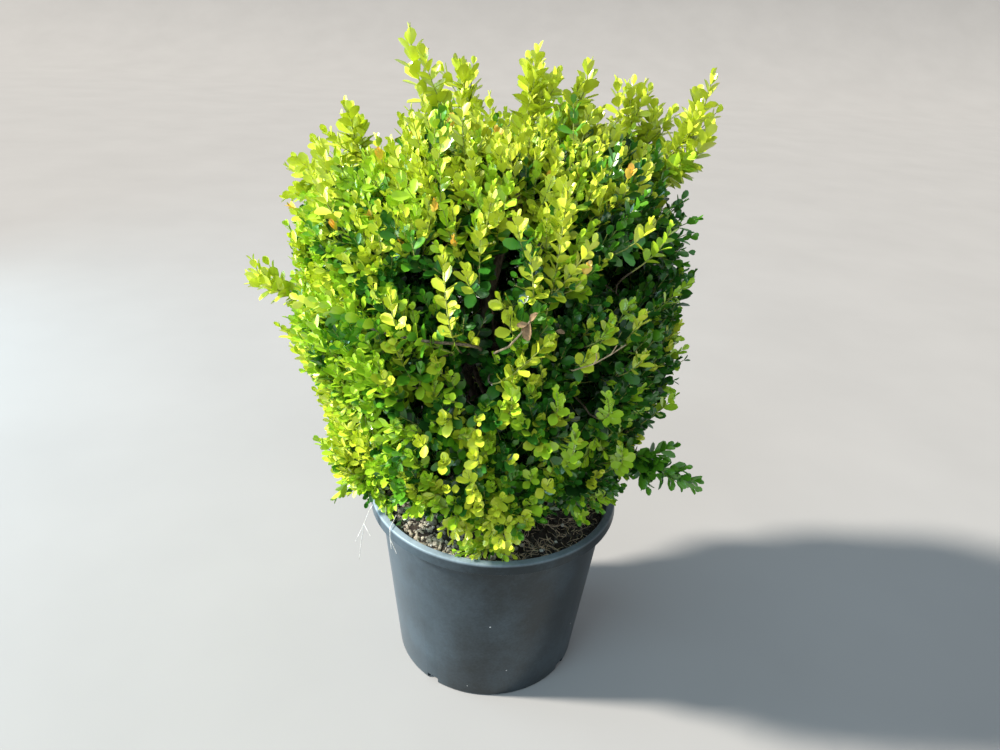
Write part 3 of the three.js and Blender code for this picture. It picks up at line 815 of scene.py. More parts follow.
def grow_mass(mass, index):
    """A stem from the bough's tip, branches turned by the golden angle, their side shoots and long shoots."""
    draw = seeded(SEED + 101 * index)
    branches = []
    shoots = []
    phase = draw() * FULL_TURN
    for i in range(mass.branches):
        spread = (i + 0.6) / mass.branches
        lean = math.radians(TWIG_SPREAD) * math.sqrt(spread)
        direction = unit(turned(mass.outward, phase + i * GOLDEN_ANGLE, lean) + UP * TWIG_LIFT)
        root = mass.stem.at(STEM_FORKS[0] - STEM_FORKS[1] * spread)
        depth = BRANCH_DEPTH[0] + BRANCH_DEPTH[1] * draw()
        length = open_length(root, direction, mass, TWIG_REACH, depth)
        if length < SHORTEST_TWIG:
            continue
        branch = add_shoot(branches, mass, root, root + direction * length, 0.06, draw, *BRANCH_LOOK)
        side_shoots(shoots, mass, branch, draw, draw() * FULL_TURN)
    paths = [mass.stem] + [branch.path for branch in branches]
    wood = np.concatenate([path.at(np.linspace(0.15, 0.95, 14)) for path in paths])
    surface_shoots(shoots, mass, wood, draw)
    face_shoots(shoots, mass, wood)
    radii, new_share, leaf_size = LONG_SHOOT
    for place, count, *tints in SHOOT_TIPS + SIDE_TIPS:
        tip = np.array(place, float)
        if not in_own_space(tip, mass, 0):
            continue
        tip = tip - LAST_LEAF * unit(tip - mass.seed)
        bend = 0.08 if tip[2] > mass.seed[2] else -0.1
        out = 0.97 if tip[2] > mass.seed[2] + 60 else 0.55
        bare = max(0.1, 1 - LONG_SHOOT_LEAFY / np.linalg.norm(tip - mass.seed))
        look = (radii, bare, new_share, leaf_size, tints, out)
        long_shoot = add_shoot(branches, mass, mass.seed, tip, bend, draw, *look)
        companions(shoots, mass, long_shoot, draw, count, tints)
        for tuft in LOW_SPRAY_TUFTS if place is LOW_SPRAY else ():
            root = nearest(long_shoot.at(np.linspace(0.3, 0.95, 27)), np.array(tuft) - (30, 0, 0))
            add_shoot(shoots, mass, root, np.array(tuft, float), 0.05, draw, *LOW_SPRAY_SHOOT, tints)
    return branches, shoots


@lru_cache(maxsize=1)
def crown():
    branches = []
    shoots = []
    for index, mass in enumerate(plan()[2]):
        thick, thin = grow_mass(mass, index)
        branches += thick
        shoots += thin
    return branches, shoots


# Meshes

def new_object(name, mesh):
    made = bpy.data.objects.new(name, mesh)
    bpy.context.scene.collection.objects.link(made)
    return made


def mesh_from(name, vertices, faces, smooth=True):
    mesh = bpy.data.meshes.new(name)
    mesh.from_pydata([tuple(map(float, v)) for v in vertices], [], faces)
    mesh.validate()
    if smooth:
        mesh.polygons.foreach_set("use_smooth", [True] * len(mesh.polygons))
    return mesh


def mesh_of(shape, name):
    """A mesh from a bmesh, which is freed."""
    mesh = bpy.data.meshes.new(name)
    shape.to_mesh(mesh)
    shape.free()
    return mesh


def finish_piece(piece, material, replaced=()):
    """Gives a piece its finish, and says what it stands for."""
    piece.data.materials.clear()
    piece.data.materials.append(material)
    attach(piece, "root")
    if replaced:
        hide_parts(*replaced)
    return piece


def circle(radius, sides):
    """The corners of a ring round the upright axis, as (x, y)."""
    angles = [FULL_TURN * i / sides for i in range(sides)]
    return [(radius * math.cos(angle), radius * math.sin(angle)) for angle in angles]


def rows(count, sides, first=0):
    """The indices of rings of vertices that follow one another from the first."""
    return [list(range(first + k * sides, first + (k + 1) * sides)) for k in range(count)]


def bands(rings, turned_in=False):
    """The faces between rings of vertices. A ring may be one vertex again and again."""
    faces = []
    for low, high in zip(rings, rings[1:]):
        for i in range(len(low)):
            j = (i + 1) % len(low)
            corners = (low[i], high[i], high[j], low[j]) if turned_in else (low[i], low[j], high[j], high[i])
            corners = list(dict.fromkeys(corners))
            if len(corners) > 2:
                faces.append(corners)
    return faces


def lathe(profile, sides, surface=None, turned_in=False):
    """A turned body from (radius, height) in metres. Where the height is None, it is the surface's there."""
    vertices = []
    rings = []
    for radius, height in profile:
        start = len(vertices)
        corners = circle(radius, sides) if radius else [(0, 0)]
        vertices += [(x, y, surface(x, y) if height is None else height) for x, y in corners]
        rings.append(list(range(start, start + sides)) if radius else [start] * sides)
    return vertices, bands(rings, turned_in)


def rounded(profile, corners, steps=5):
    """A profile with some of its corners rounded: corners gives each one's index and radius."""
    out = []
    for i, point in enumerate(profile):
        if i not in corners:
            out.append(point)
            continue
        here = np.array(point, float)
        before = unit(np.array(profile[i - 1], float) - here)
        after = unit(np.array(profile[i + 1], float) - here)
        reach = corners[i]
        arc = Path((*here + before * reach, 0), (*here, 0), (*here + after * reach, 0), samples=steps)
        out += [tuple(p[:2]) for p in arc.points]
    return out


def frames_along(points):
    """A normal and binormal at each point of a line, turned as little as possible."""
    tangents = np.gradient(points, axis=0)
    tangents /= np.linalg.norm(tangents, axis=1)[:, None]
    normal = across_from(tangents[0])[0]
    normals = []
    for tangent in tangents:
        normal = unit(normal - tangent * (normal @ tangent))
        normals.append(normal)
    normals = np.array(normals)
    return tangents, normals, np.cross(tangents, normals)


# Geometry node trees and materials

class Builder:
    """Adds nodes to a tree, their inputs given as values or as other nodes' outputs."""

    def __init__(self, tree):
        self.tree = tree

    def node(self, kind, inputs=None, **settings):
        made = self.tree.nodes.new(kind)
        for name, value in settings.items():
            setattr(made, name, value)
        for socket, value in (inputs or {}).items():
            if isinstance(value, bpy.types.NodeSocket):
                self.tree.links.new(value, made.inputs[socket])
            else:
                made.inputs[socket].default_value = value
        return made

    def out(self, kind, inputs=None, **settings):
        return self.node(kind, inputs, **settings).outputs[0]

    def link(self, output, node, socket):
        self.tree.links.new(output, node.inputs[socket])

    def math(self, operation, *values):
        return self.out("ShaderNodeMath", dict(enumerate(values)), operation=operation)

    def plus(self, one, other):
        return self.math("ADD", one, other)

    def times(self, one, other):
        return self.math("MULTIPLY", one, other)

    def clamp(self, value):
        return self.out("ShaderNodeClamp", {"Value": value})

    def vector(self, operation, *values):
        return self.out("ShaderNodeVectorMath", dict(enumerate(values)), operation=operation)

    def scaled(self, vector, factor):
        return self.out("ShaderNodeVectorMath", {"Vector": vector, "Scale": factor}, operation="SCALE")

    def mix(self, factor, one, other):
        return self.node("ShaderNodeMix", {"Factor": factor, 6: one, 7: other}, data_type="RGBA").outputs[2]

    def random(self, low, high, seed, key=None):
        inputs = {2: low, 3: high, 8: seed}
        if key is not None:
            inputs[7] = key
        return self.node("FunctionNodeRandomValue", inputs, data_type="FLOAT").outputs[1]

    def strewn(self, points, shape, rotation, size):
        inputs = {"Points": points, "Instance": shape, "Rotation": rotation, "Scale": size}
        return self.out("GeometryNodeInstanceOnPoints", inputs)


def node_group(name, sockets):
    """A geometry node tree and its named inputs, each with its default, or with the word for its kind."""
    tree = bpy.data.node_groups.new(name, "GeometryNodeTree")
    tree.interface.new_socket("Geometry", in_out="INPUT", socket_type="NodeSocketGeometry")
    for label, default in sockets.items():
        kind = default if isinstance(default, str) else type(default).__name__.title()
        made = tree.interface.new_socket(label, in_out="INPUT", socket_type=f"NodeSocket{kind}")
        if kind != default:
            made.default_value = default
    tree.interface.new_socket("Geometry", in_out="OUTPUT", socket_type="NodeSocketGeometry")
    build = Builder(tree)
    return tree, build, build.node("NodeGroupInput").outputs


def close_group(build, geometry, material, smooth=True):
    """Realized, shaded and with its material, the geometry leaves the tree."""
    realized = build.out("GeometryNodeRealizeInstances", {"Geometry": geometry})
    smoothed = build.out("GeometryNodeSetShadeSmooth", {"Geometry": realized, "Shade Smooth": smooth})
    painted = build.out("GeometryNodeSetMaterial", {"Geometry": smoothed, "Material": material})
    build.node("NodeGroupOutput", {0: painted})


def run_group(source, tree, inputs, name):
    """Runs a node tree on an object, and gives its result as a plain mesh object."""
    modifier = source.modifiers.new(tree.name, "NODES")
    modifier.node_group = tree
    sockets = {s.name: s.identifier for s in tree.interface.items_tree if s.in_out == "INPUT"}
    for label, value in inputs.items():
        modifier[sockets[label]] = value
    bpy.context.view_layer.update()
    evaluated = source.evaluated_get(bpy.context.evaluated_depsgraph_get())
    mesh = bpy.data.meshes.new_from_object(evaluated)
    mesh.name = name
    source.modifiers.remove(modifier)
    bpy.data.objects.remove(source)
    if not mesh.polygons:
        raise RuntimeError(f"{name} came out empty")
    return new_object(name, mesh)


@lru_cache(maxsize=1)
def leaf_tree():
    """Leaves in crossed pairs along shoots, each pair wider open than the one above it."""
    sockets = {
        "Leaf": "Object",
        "Leaf Length": 0.0194,
        "Pair Spacing": 0.0095,
        "First Opening": 0.5,
        "Opening Step": 0.2,
        "Widest Opening": 1.15,
        "Tip Size": 0.6,
        "Size Variation": 0.2,
        "Turn To Light": 0.5,
        "Untidiness": 0.25,
        "Seed": 1,
        "Material": "Material",
    }
    tree, build, given = node_group("paired_leaves", sockets)
    spacing = {"Curve": given["Geometry"], "Length": given["Pair Spacing"]}
    pairs = build.out("GeometryNodeResampleCurve", spacing, mode="LENGTH")
    leaf = build.node("GeometryNodeObjectInfo", {"Object": given["Leaf"]}).outputs["Geometry"]
    share_of_size = build.out("GeometryNodeInputRadius")
    along = build.out("GeometryNodeInputTangent")
    normal = build.out("GeometryNodeInputNormal")
    across = build.vector("CROSS_PRODUCT", along, normal)
    place = build.node("GeometryNodeSplineParameter").outputs
    spline = build.node("GeometryNodeCurveOfPoint").outputs["Curve Index"]
    from_tip = build.math("SUBTRACT", build.out("GeometryNodeSplineLength"), place["Length"])
    below = build.math("DIVIDE", from_tip, given["Pair Spacing"])
    phase = build.random(0.0, math.pi, given["Seed"], spline)
    roll = build.plus(build.times(place["Index"], math.pi / 2), phase)
    one_way = build.scaled(normal, build.math("COSINE", roll))
    other_way = build.scaled(across, build.math("SINE", roll))
    side = build.vector("ADD", one_way, other_way)
    opened = build.plus(given["First Opening"], build.times(below, given["Opening Step"]))
    grown = build.plus(given["Tip Size"], build.times(below, NEW_PAIR_GROWTH))
    grown = build.math("MINIMUM", grown, 1.0)
    joined = build.node("GeometryNodeJoinGeometry")
    for sign in (1.0, -1.0):
        seed = build.plus(given["Seed"], 11.0 + sign)
        jitter = build.times(build.random(-0.5, 0.5, seed), given["Untidiness"])
        opening = build.plus(build.math("MINIMUM", opened, given["Widest Opening"]), jitter)
        out = build.scaled(side, sign)
        cosine = build.math("COSINE", opening)
        sine = build.math("SINE", opening)
        direction = build.vector("ADD", build.scaled(along, cosine), build.scaled(out, sine))
        facing = build.vector("SUBTRACT", build.scaled(along, sine), build.scaled(out, cosine))
        lit = build.vector("ADD", facing, build.scaled((0.0, 0.0, 1.0), given["Turn To Light"]))
        axes = {"Primary Axis": direction, "Secondary Axis": lit}
        rotation = build.out("FunctionNodeAxesToRotation", axes, primary_axis="X", secondary_axis="Z")
        loose = build.times(given["Untidiness"], build.random(-1.0, 1.0, build.plus(seed, 7.0)))
        twist = build.out("FunctionNodeEulerToRotation", {0: build.out("ShaderNodeCombineXYZ", {0: loose})})
        both = {"Rotation": rotation, "Rotate By": twist}
        rotation = build.out("FunctionNodeRotateRotation", both, rotation_space="LOCAL")
        varied = build.times(given["Size Variation"], build.random(-1.0, 1.0, build.plus(seed, 3.0)))
        size = build.times(grown, build.plus(varied, 1.0))
        size = build.times(size, build.times(share_of_size, given["Leaf Length"]))
        build.link(build.strewn(pairs, leaf, rotation, size), joined, 0)
    close_group(build, joined.outputs[0], given["Material"])
    return tree


@lru_cache(maxsize=1)
def twig_tree():
    """Rods along shoots, each as thick as its curve's radius."""
    tree, build, given = node_group("twig_rods", {"Sides": 4, "Thickness": 1.0, "Material": "Material"})
    ring = build.out("GeometryNodeCurvePrimitiveCircle", {"Resolution": given["Sides"], "Radius": 1.0})
    scale = build.times(build.out("GeometryNodeInputRadius"), given["Thickness"])
    inputs = {"Curve": given["Geometry"], "Profile Curve": ring, "Scale": scale, "Fill Caps": True}
    close_group(build, build.out("GeometryNodeCurveToMesh", inputs), given["Material"])
    return tree


def curves_from(name, lines):
    """A curve object from lines of points and radii, both in metres."""
    data = bpy.data.curves.new(name, "CURVE")
    data.dimensions = "3D"
    for points, radii in lines:
        spline = data.splines.new("POLY")
        spline.points.add(len(points) - 1)
        flat = np.concatenate([points, np.ones((len(points), 1))], axis=1).astype(np.float32)
        spline.points.foreach_set("co", flat.ravel())
        spline.points.foreach_set("radius", np.asarray(radii, np.float32))
    return new_object(name, data)


def make_rods(name, lines, sides, material, replaced=()):
    """One piece of rods along lines of points and radii."""
    inputs = {"Sides": sides, "Thickness": 1.0, "Material": material}
    rods = run_group(curves_from(name, lines), twig_tree(), inputs, name)
    return finish_piece(rods, material, replaced)


def leaf_object(name, width, widest, fold, curl):
    """One leaf of unit length along +X, its face up: an oval blade folded at the midrib, with a round tip."""
    vertices = [(0.0, 0.0, 0.0)]
    for x, share in ((0.26, 0.62), (widest, 1.0), (0.9, 0.62)):
        half = width / 2 * share
        sink = -curl * x * x
        vertices += [(x, half, sink + fold * half), (x, 0.0, sink), (x, -half, sink + fold * half)]
    vertices.append((1.0, 0.0, -curl))
    faces = [(0, 2, 1), (0, 3, 2)]
    for a in (1, 4):
        faces += [(a, a + 1, a + 4, a + 3), (a + 1, a + 2, a + 5, a + 4)]
    faces += [(7, 8, 10), (8, 9, 10)]
    return new_object(name, mesh_from(name, vertices, faces))


def new_material(name, roughness):
    material = bpy.data.materials.new(name)
    material.use_nodes = True
    shader = material.node_tree.nodes["Principled BSDF"]
    shader.inputs["Roughness"].default_value = roughness
    return material, shader


def leaf_material(leaf, tint):
    """One plain colour with a faint gloss, the same for every leaf of a tint."""
    name = f"leaf_{tint}"
    if name in bpy.data.materials:
        return bpy.data.materials[name]
    material, shader = new_material(name, leaf.roughness)
    shader.inputs["Base Color"].default_value = (*getattr(leaf, tint), 1.0)
    shader.inputs["Coat Weight"].default_value = 0.5
    shader.inputs["Coat Roughness"].default_value = 0.16
    return material


def shaded(colour, share):
    return tuple(min(1.0, part * share) for part in colour)


def ramp(build, factor, stops):
    made = build.node("ShaderNodeValToRGB", {"Fac": factor})
    elements = made.color_ramp.elements
    while len(elements) < len(stops):
        elements.new(0.5)
    for element, (position, colour) in zip(elements, stops):
        element.position = position
        element.color = (*colour[:3], 1.0)
    return made.outputs["Color"]


def noise_texture(build, place, scale, detail=4.0, roughness=0.55):
    inputs = {"Vector": place, "Scale": scale, "Detail": detail, "Roughness": roughness}
    return build.node("ShaderNodeTexNoise", inputs).outputs["Fac"]


def bump(build, shader, height, strength, distance):
    inputs = {"Height": height, "Strength": strength, "Distance": distance}
    build.link(build.out("ShaderNodeBump", inputs), shader, "Normal")


def mottled_material(name, roughness, pattern, stops, relief=None, grain=None, stretch=None):
    """A material coloured by one noise through a ramp, with relief by the same noise or by a finer grain."""
    material, shader = new_material(name, roughness)
    build = Builder(material.node_tree)
    place = build.node("ShaderNodeTexCoord").outputs["Object"]
    if stretch:
        place = build.out("ShaderNodeMapping", {"Vector": place, "Scale": stretch})
    spots = noise_texture(build, place, *pattern)
    build.link(ramp(build, spots, stops), shader, "Base Color")
    if relief:
        bump(build, shader, noise_texture(build, place, *grain) if grain else spots, *relief)
    return material


def dry_material(name, colour):
    stops = ((0.32, shaded(colour, 0.4)), (0.5, colour), (0.68, shaded(colour, 1.7)))
    return mottled_material(name, 0.85, (130.0, 5.0, 0.65), stops, (0.3, 0.0008), (600.0, 2.0))


def wood_material(name, ridge, furrow):
    return mottled_material(name, 0.7, (420.0, 3.0), ((0.35, furrow), (0.62, ridge)))


# Sizes and colours that a user would change

def colour_property(name, description, default):
    return FloatVectorProperty(
        name=name, description=description, default=default, subtype="COLOR", size=3, min=0, max=1
    )


def length_property(name, description, default):
    return FloatProperty(name=name, description=description, default=default, unit="LENGTH")


def number_property(name, description, default):
    return FloatProperty(name=name, description=description, default=default)


class ShrubPotSettings(bpy.types.PropertyGroup):
    height: length_property("Height", "Height of the pot", 0.315)
    rim_radius: length_property("Rim Radius", "Outer radius of the rim's top edge", 0.2)
    lip_height: length_property("Lip Height", "Height of the band that turns down from the rim", 0.017)
    neck_radius: length_property("Neck Radius", "Outer radius of the wall under the lip", 0.186)
    base_radius: length_property("Base Radius", "Outer radius at the foot of the wall", 0.155)
    wall: length_property("Wall", "Thickness of the plastic", 0.003)
    sides: IntProperty(name="Sides", description="Faces round the pot", default=144, min=24)
    plastic: colour_property("Plastic", "Colour of the black plastic", (0.015, 0.018, 0.02))
    # The dust colour's blue is partly painted sheen.
    dust: colour_property("Dust", "Colour of the dust and scuffs on it", (0.066, 0.094, 0.116))
    # The edge colour is partly wear and partly a painted highlight on the rim.
    edge: colour_property("Edge", "Colour of the rubbed edges", (0.33, 0.42, 0.48))


class ShrubSoilSettings(bpy.types.PropertyGroup):
    drop: length_property("Drop", "Height from the rim down to the potting mix at the wall", 0.027)
    crown: length_property("Crown", "Rise of the potting mix towards the stem", 0.012)
    chip_density: number_property("Chip Density", "Bark chips per square metre", 26000)
    stalk_density: number_property("Stalk Density", "Dry stalks per square metre", 14000)
    soil: colour_property("Potting Mix", "Colour of the damp mix", (0.03, 0.022, 0.015))
    chips: colour_property("Chips", "Colour of the dry bark chips", (0.44, 0.4, 0.31))
    grit: colour_property("Grit", "Colour of the white grit in the mix", (0.75, 0.75, 0.7))
    stalks: colour_property("Stalks", "Colour of the dry stalks", (0.6, 0.47, 0.32))


class ShrubBarkSettings(bpy.types.PropertyGroup):
    relief: length_property("Relief", "Depth of the furrows in the bark", 0.0011)
    step: length_property("Step", "Length between rings of the bark mesh", 0.0035)
    ridge: colour_property("Ridge", "Colour of the bark's ridges", (0.25, 0.19, 0.13))
    furrow: colour_property("Furrow", "Colour of the bark's furrows", (0.06, 0.042, 0.028))
    young: colour_property("Young Wood", "Colour of this year's stems", (0.46, 0.52, 0.13))


class ShrubLeafSettings(bpy.types.PropertyGroup):
    length: length_property("Leaf Length", "Length of a full-grown leaf", 0.0194)
    width: number_property("Leaf Width", "Width as a share of the length", 0.66)
    spacing: length_property("Pair Spacing", "Length of stem between pairs of leaves", 0.0095)
    roughness: number_property("Roughness", "Roughness of the leaves", 0.33)
    # The tints are partly the leaves' ages and partly painted light and shade: deep and mid go where shade is
    # painted, lime and yellow where light is painted.
    deep: colour_property("Deep", "Oldest leaves, inside the crown", (0.012, 0.064, 0.01))
    mid: colour_property("Mid", "Old leaves", (0.032, 0.165, 0.014))
    fresh: colour_property("Fresh", "Last year's leaves", (0.1, 0.32, 0.016))
    lime: colour_property("Lime", "This year's leaves", (0.44, 0.68, 0.034))
    yellow: colour_property("Yellow", "Newest leaves, at the tips", (0.66, 0.76, 0.055))
    bronze: colour_property("Bronze", "Tips tinted by cold", (0.92, 0.6, 0.09))
    dead: colour_property("Dead", "Dry leaves", (0.27, 0.17, 0.085))
    twig: colour_property("Dead Twig", "Bare dead wood", (0.44, 0.34, 0.21))


class ShrubStageSettings(bpy.types.PropertyGroup):
    floor: colour_property("Floor", "Colour of the floor", (0.35, 0.346, 0.34))
    key_power: number_property("Key Power", "Strength of the sun", 6.8)
    fill_power: number_property("Fill Power", "Power of the soft lamps at the sides", 16)
    sky: number_property("Surround", "Strength of the even light all round", 0.5)


# Operators

class SHRUB_OT_make_stage(bpy.types.Operator):
    """Set the camera, the sun, the soft lamps, the even surround and the floor"""

    bl_idname = "shrub.make_stage"
    bl_label = "Make Stage"

    def execute(self, context):
        settings = context.scene.shrub_stage
        scene = context.scene
        scene.camera = self.camera()
        scene.view_settings.view_transform = "Standard"
        key = self.lamp("key_light", "SUN", settings.key_power, KEY_COLOUR, KEY_PLACE)
        key.angle = math.radians(KEY_ANGLE)
        for name, share, place in FILLS:
            fill = self.lamp(name, "AREA", settings.fill_power * share, FILL_COLOUR, place)
            fill.shape = "DISK"
            fill.size = FILL_SIZE
        world = bpy.data.worlds.new("studio")
        world.use_nodes = True
        surround = world.node_tree.nodes["Background"]
        surround.inputs["Color"].default_value = SURROUND_COLOUR
        surround.inputs["Strength"].default_value = settings.sky
        scene.world = world
        self.floor(settings)
        return {"FINISHED"}

    def camera(self):
        """The photo's camera, turned by its pitch and then by its roll."""
        lens = bpy.data.cameras.new("camera")
        lens.sensor_width = 36
        lens.lens = CAMERA_LENS
        camera = new_object("camera", lens)
        pitch, roll = math.radians(CAMERA_PITCH), math.radians(CAMERA_ROLL)
        ahead = Vector((0, math.cos(pitch), -math.sin(pitch)))
        up = Vector((0, math.sin(pitch), math.cos(pitch)))
        right = Vector((1, 0, 0))
        turned_right = right * math.cos(roll) + up * math.sin(roll)
        turned_up = up * math.cos(roll) - right * math.sin(roll)
        axes = Matrix((turned_right, turned_up, -ahead)).transposed().to_4x4()
        camera.matrix_world = Matrix.Translation(CAMERA_PLACE) @ axes
        return camera

    def lamp(self, name, kind, energy, colour, place):
        light = bpy.data.lights.new(name, kind)
        light.energy = energy
        light.color = colour
        lamp = new_object(name, light)
        lamp.location = place
        lamp.rotation_euler = (LAMP_TARGET - Vector(place)).to_track_quat("-Z", "Y").to_euler()
        return light

    def floor(self, settings):
        """A level floor that bends up far behind."""
        sweep = [(-FLOOR_SIDE, 0), (FLOOR_BACK, 0)]
        for turn in np.linspace(0.08, 0.95, 12):
            sweep.append((FLOOR_BACK + FLOOR_BEND * math.sin(turn), FLOOR_BEND - FLOOR_BEND * math.cos(turn)))
        vertices = [(x, y, z) for y, z in sweep for x in (-FLOOR_SIDE, FLOOR_SIDE)]
        faces = [(2 * i, 2 * i + 1, 2 * i + 3, 2 * i + 2) for i in range(len(sweep) - 1)]
        floor = new_object("studio_floor", mesh_from("studio_floor", vertices, faces))
        stops = ((0.3, settings.floor), (0.7, shaded(settings.floor, 1.06)))
        floor.data.materials.append(mottled_material("pale_floor", 0.9, (2.2, 3.0), stops))
        return floor


class SHRUB_OT_make_pot(bpy.types.Operator):
    """Turn the black plastic pot, with its lip and drain notches"""

    bl_idname = "shrub.make_pot"
    bl_label = "Make Pot"

    def execute(self, context):
        size = context.scene.shrub_pot
        wall = size.wall
        lip_foot = size.height - size.lip_height
        mouth = size.rim_radius - LIP_WIDTH
        profile = [
            (0, 0.004),
            (0.1, 0.0035),
            (0.138, 0),
            (size.base_radius, 0),
            (size.neck_radius, lip_foot),
            (mouth + 0.0015, size.height - wall),
            (size.rim_radius - wall, size.height - wall),
            (size.rim_radius - 0.0015, lip_foot),
            (size.rim_radius + 0.0015, lip_foot),
            (size.rim_radius, size.height),
            (mouth, size.height),
            (size.neck_radius - wall, lip_foot),
            (size.base_radius - wall, BASE_TOP),
            (0, BASE_TOP),
        ]
        vertices, faces = lathe(rounded(profile, POT_ROUNDING), size.sides)
        pot = new_object("nursery_pot", mesh_from("nursery_pot", vertices, faces))
        self.cut_notches(context, pot, size)
        finish_piece(pot, self.plastic(size), ["pot"])
        return {"FINISHED"}

    def cut_notches(self, context, pot, size):
        notches = bmesh.new()
        for azimuth in NOTCH_AZIMUTHS:
            turn = Matrix.Rotation(math.radians(azimuth), 4, "Z")
            place = turn @ Matrix.Translation((size.base_radius, 0, 0)) @ Matrix.Diagonal((*NOTCH_SIZE, 1))
            bmesh.ops.create_cube(notches, size=1, matrix=place)
        edges = list(notches.edges)
        bmesh.ops.bevel(notches, geom=edges, offset=NOTCH_ROUNDING, segments=3, affect="EDGES", profile=0.5)
        cutter = new_object("notches", mesh_of(notches, "notches"))
        cut = pot.modifiers.new("notches", "BOOLEAN")
        cut.object = cutter
        cut.operation = "DIFFERENCE"
        cut.solver = "EXACT"
        context.view_layer.update()
        pot_cut = pot.evaluated_get(context.evaluated_depsgraph_get())
        mesh = bpy.data.meshes.new_from_object(pot_cut)
        pot.modifiers.clear()
        pot.data = mesh
        mesh.set_sharp_from_angle(angle=math.radians(CREASE_ANGLE))
        bpy.data.objects.remove(cutter)

    def plastic(self, size):
        """Black plastic: dusty and painted sheen towards -X, rubbed and highlit along the rim, and with a few
        white specks.
        """
        material, shader = new_material("black_plastic", 0.42)
        shader.inputs["Specular IOR Level"].default_value = 0.42
        shader.inputs["Specular Tint"].default_value = (0.75, 0.93, 1.0, 1.0)
        build = Builder(material.node_tree)
        place = build.node("ShaderNodeTexCoord").outputs["Object"]
        dusty = noise_texture(build, place, 9.0, 6.0, 0.62)
        fine = noise_texture(build, place, 240.0, 3.0)
        mixed = build.times(dusty, build.plus(build.times(fine, 0.5), 0.75))
        across, _, height = build.node("ShaderNodeSeparateXYZ", {0: place}).outputs
        # Towards -X the body turns to the dust colour: partly dust, partly painted sheen on the lit side.
        dust_and_painted_sheen = build.clamp(build.times(across, -2.8))
        body = ramp(build, build.plus(mixed, dust_and_painted_sheen), ((0.42, size.plastic), (0.92, size.dust)))
        rim = build.times(build.math("SUBTRACT", height, size.height - 0.0042), 420.0)
        # The rim's pale colour is partly wear and partly a painted highlight, and fades towards +X as painted
        # shadow.
        out_of_painted_shadow = build.clamp(build.math("MULTIPLY_ADD", across, -4.0, 1.0))
        worn_and_highlit = build.clamp(build.times(rim, build.times(mixed, out_of_painted_shadow)))
        rubbed_and_highlit = build.mix(worn_and_highlit, body, (*size.edge, 1.0))
        specks = build.node("ShaderNodeTexVoronoi", {"Vector": place, "Scale": 26.0}).outputs["Distance"]
        spotted = build.mix(build.math("LESS_THAN", specks, 0.036), rubbed_and_highlit, (0.7, 0.72, 0.72, 1.0))
        build.link(spotted, shader, "Base Color")
        build.link(build.plus(build.times(dusty, 0.24), 0.26), shader, "Roughness")
        bump(build, shader, fine, 0.12, 0.0006)
        return material


def inner_wall_radius(height, pot):
    """The radius of the pot's inner wall at a height over the foot of its outside."""
    foot = 0.004
    share = (height - foot) / (pot.height - pot.lip_height - foot)
    return pot.base_radius - pot.wall + share * (pot.neck_radius - pot.base_radius)


def soil_height(x, y, soil, pot):
    """The potting mix's own height, in metres, as its solid has it."""
    edge_height = pot.height - soil.drop
    edge = inner_wall_radius(edge_height, pot)
    share = max(0.0, (math.hypot(x, y) - SOIL_FLAT) / (edge - SOIL_FLAT))
    wave_length, wave_height = SOIL_WAVES
    wave = math.sin(x / wave_length + 1) * math.sin(y / wave_length) if share > 0 else 0.0
    fineness, crumb_height = SOIL_CRUMBS
    rough = noise.fractal(Vector((x, y, 0.3)) * fineness, 1.0, 2.0, 4) * crumb_height
    heap_x, heap_y, spread, heap_height = SOIL_HEAP
    heap = heap_height * math.exp(-((x - heap_x) ** 2 + (y - heap_y) ** 2) / spread**2)
    rise = soil.crown * (1 - share * share)
    return edge_height + rise + wave_height * wave * min(share * 4, 1) + rough + heap


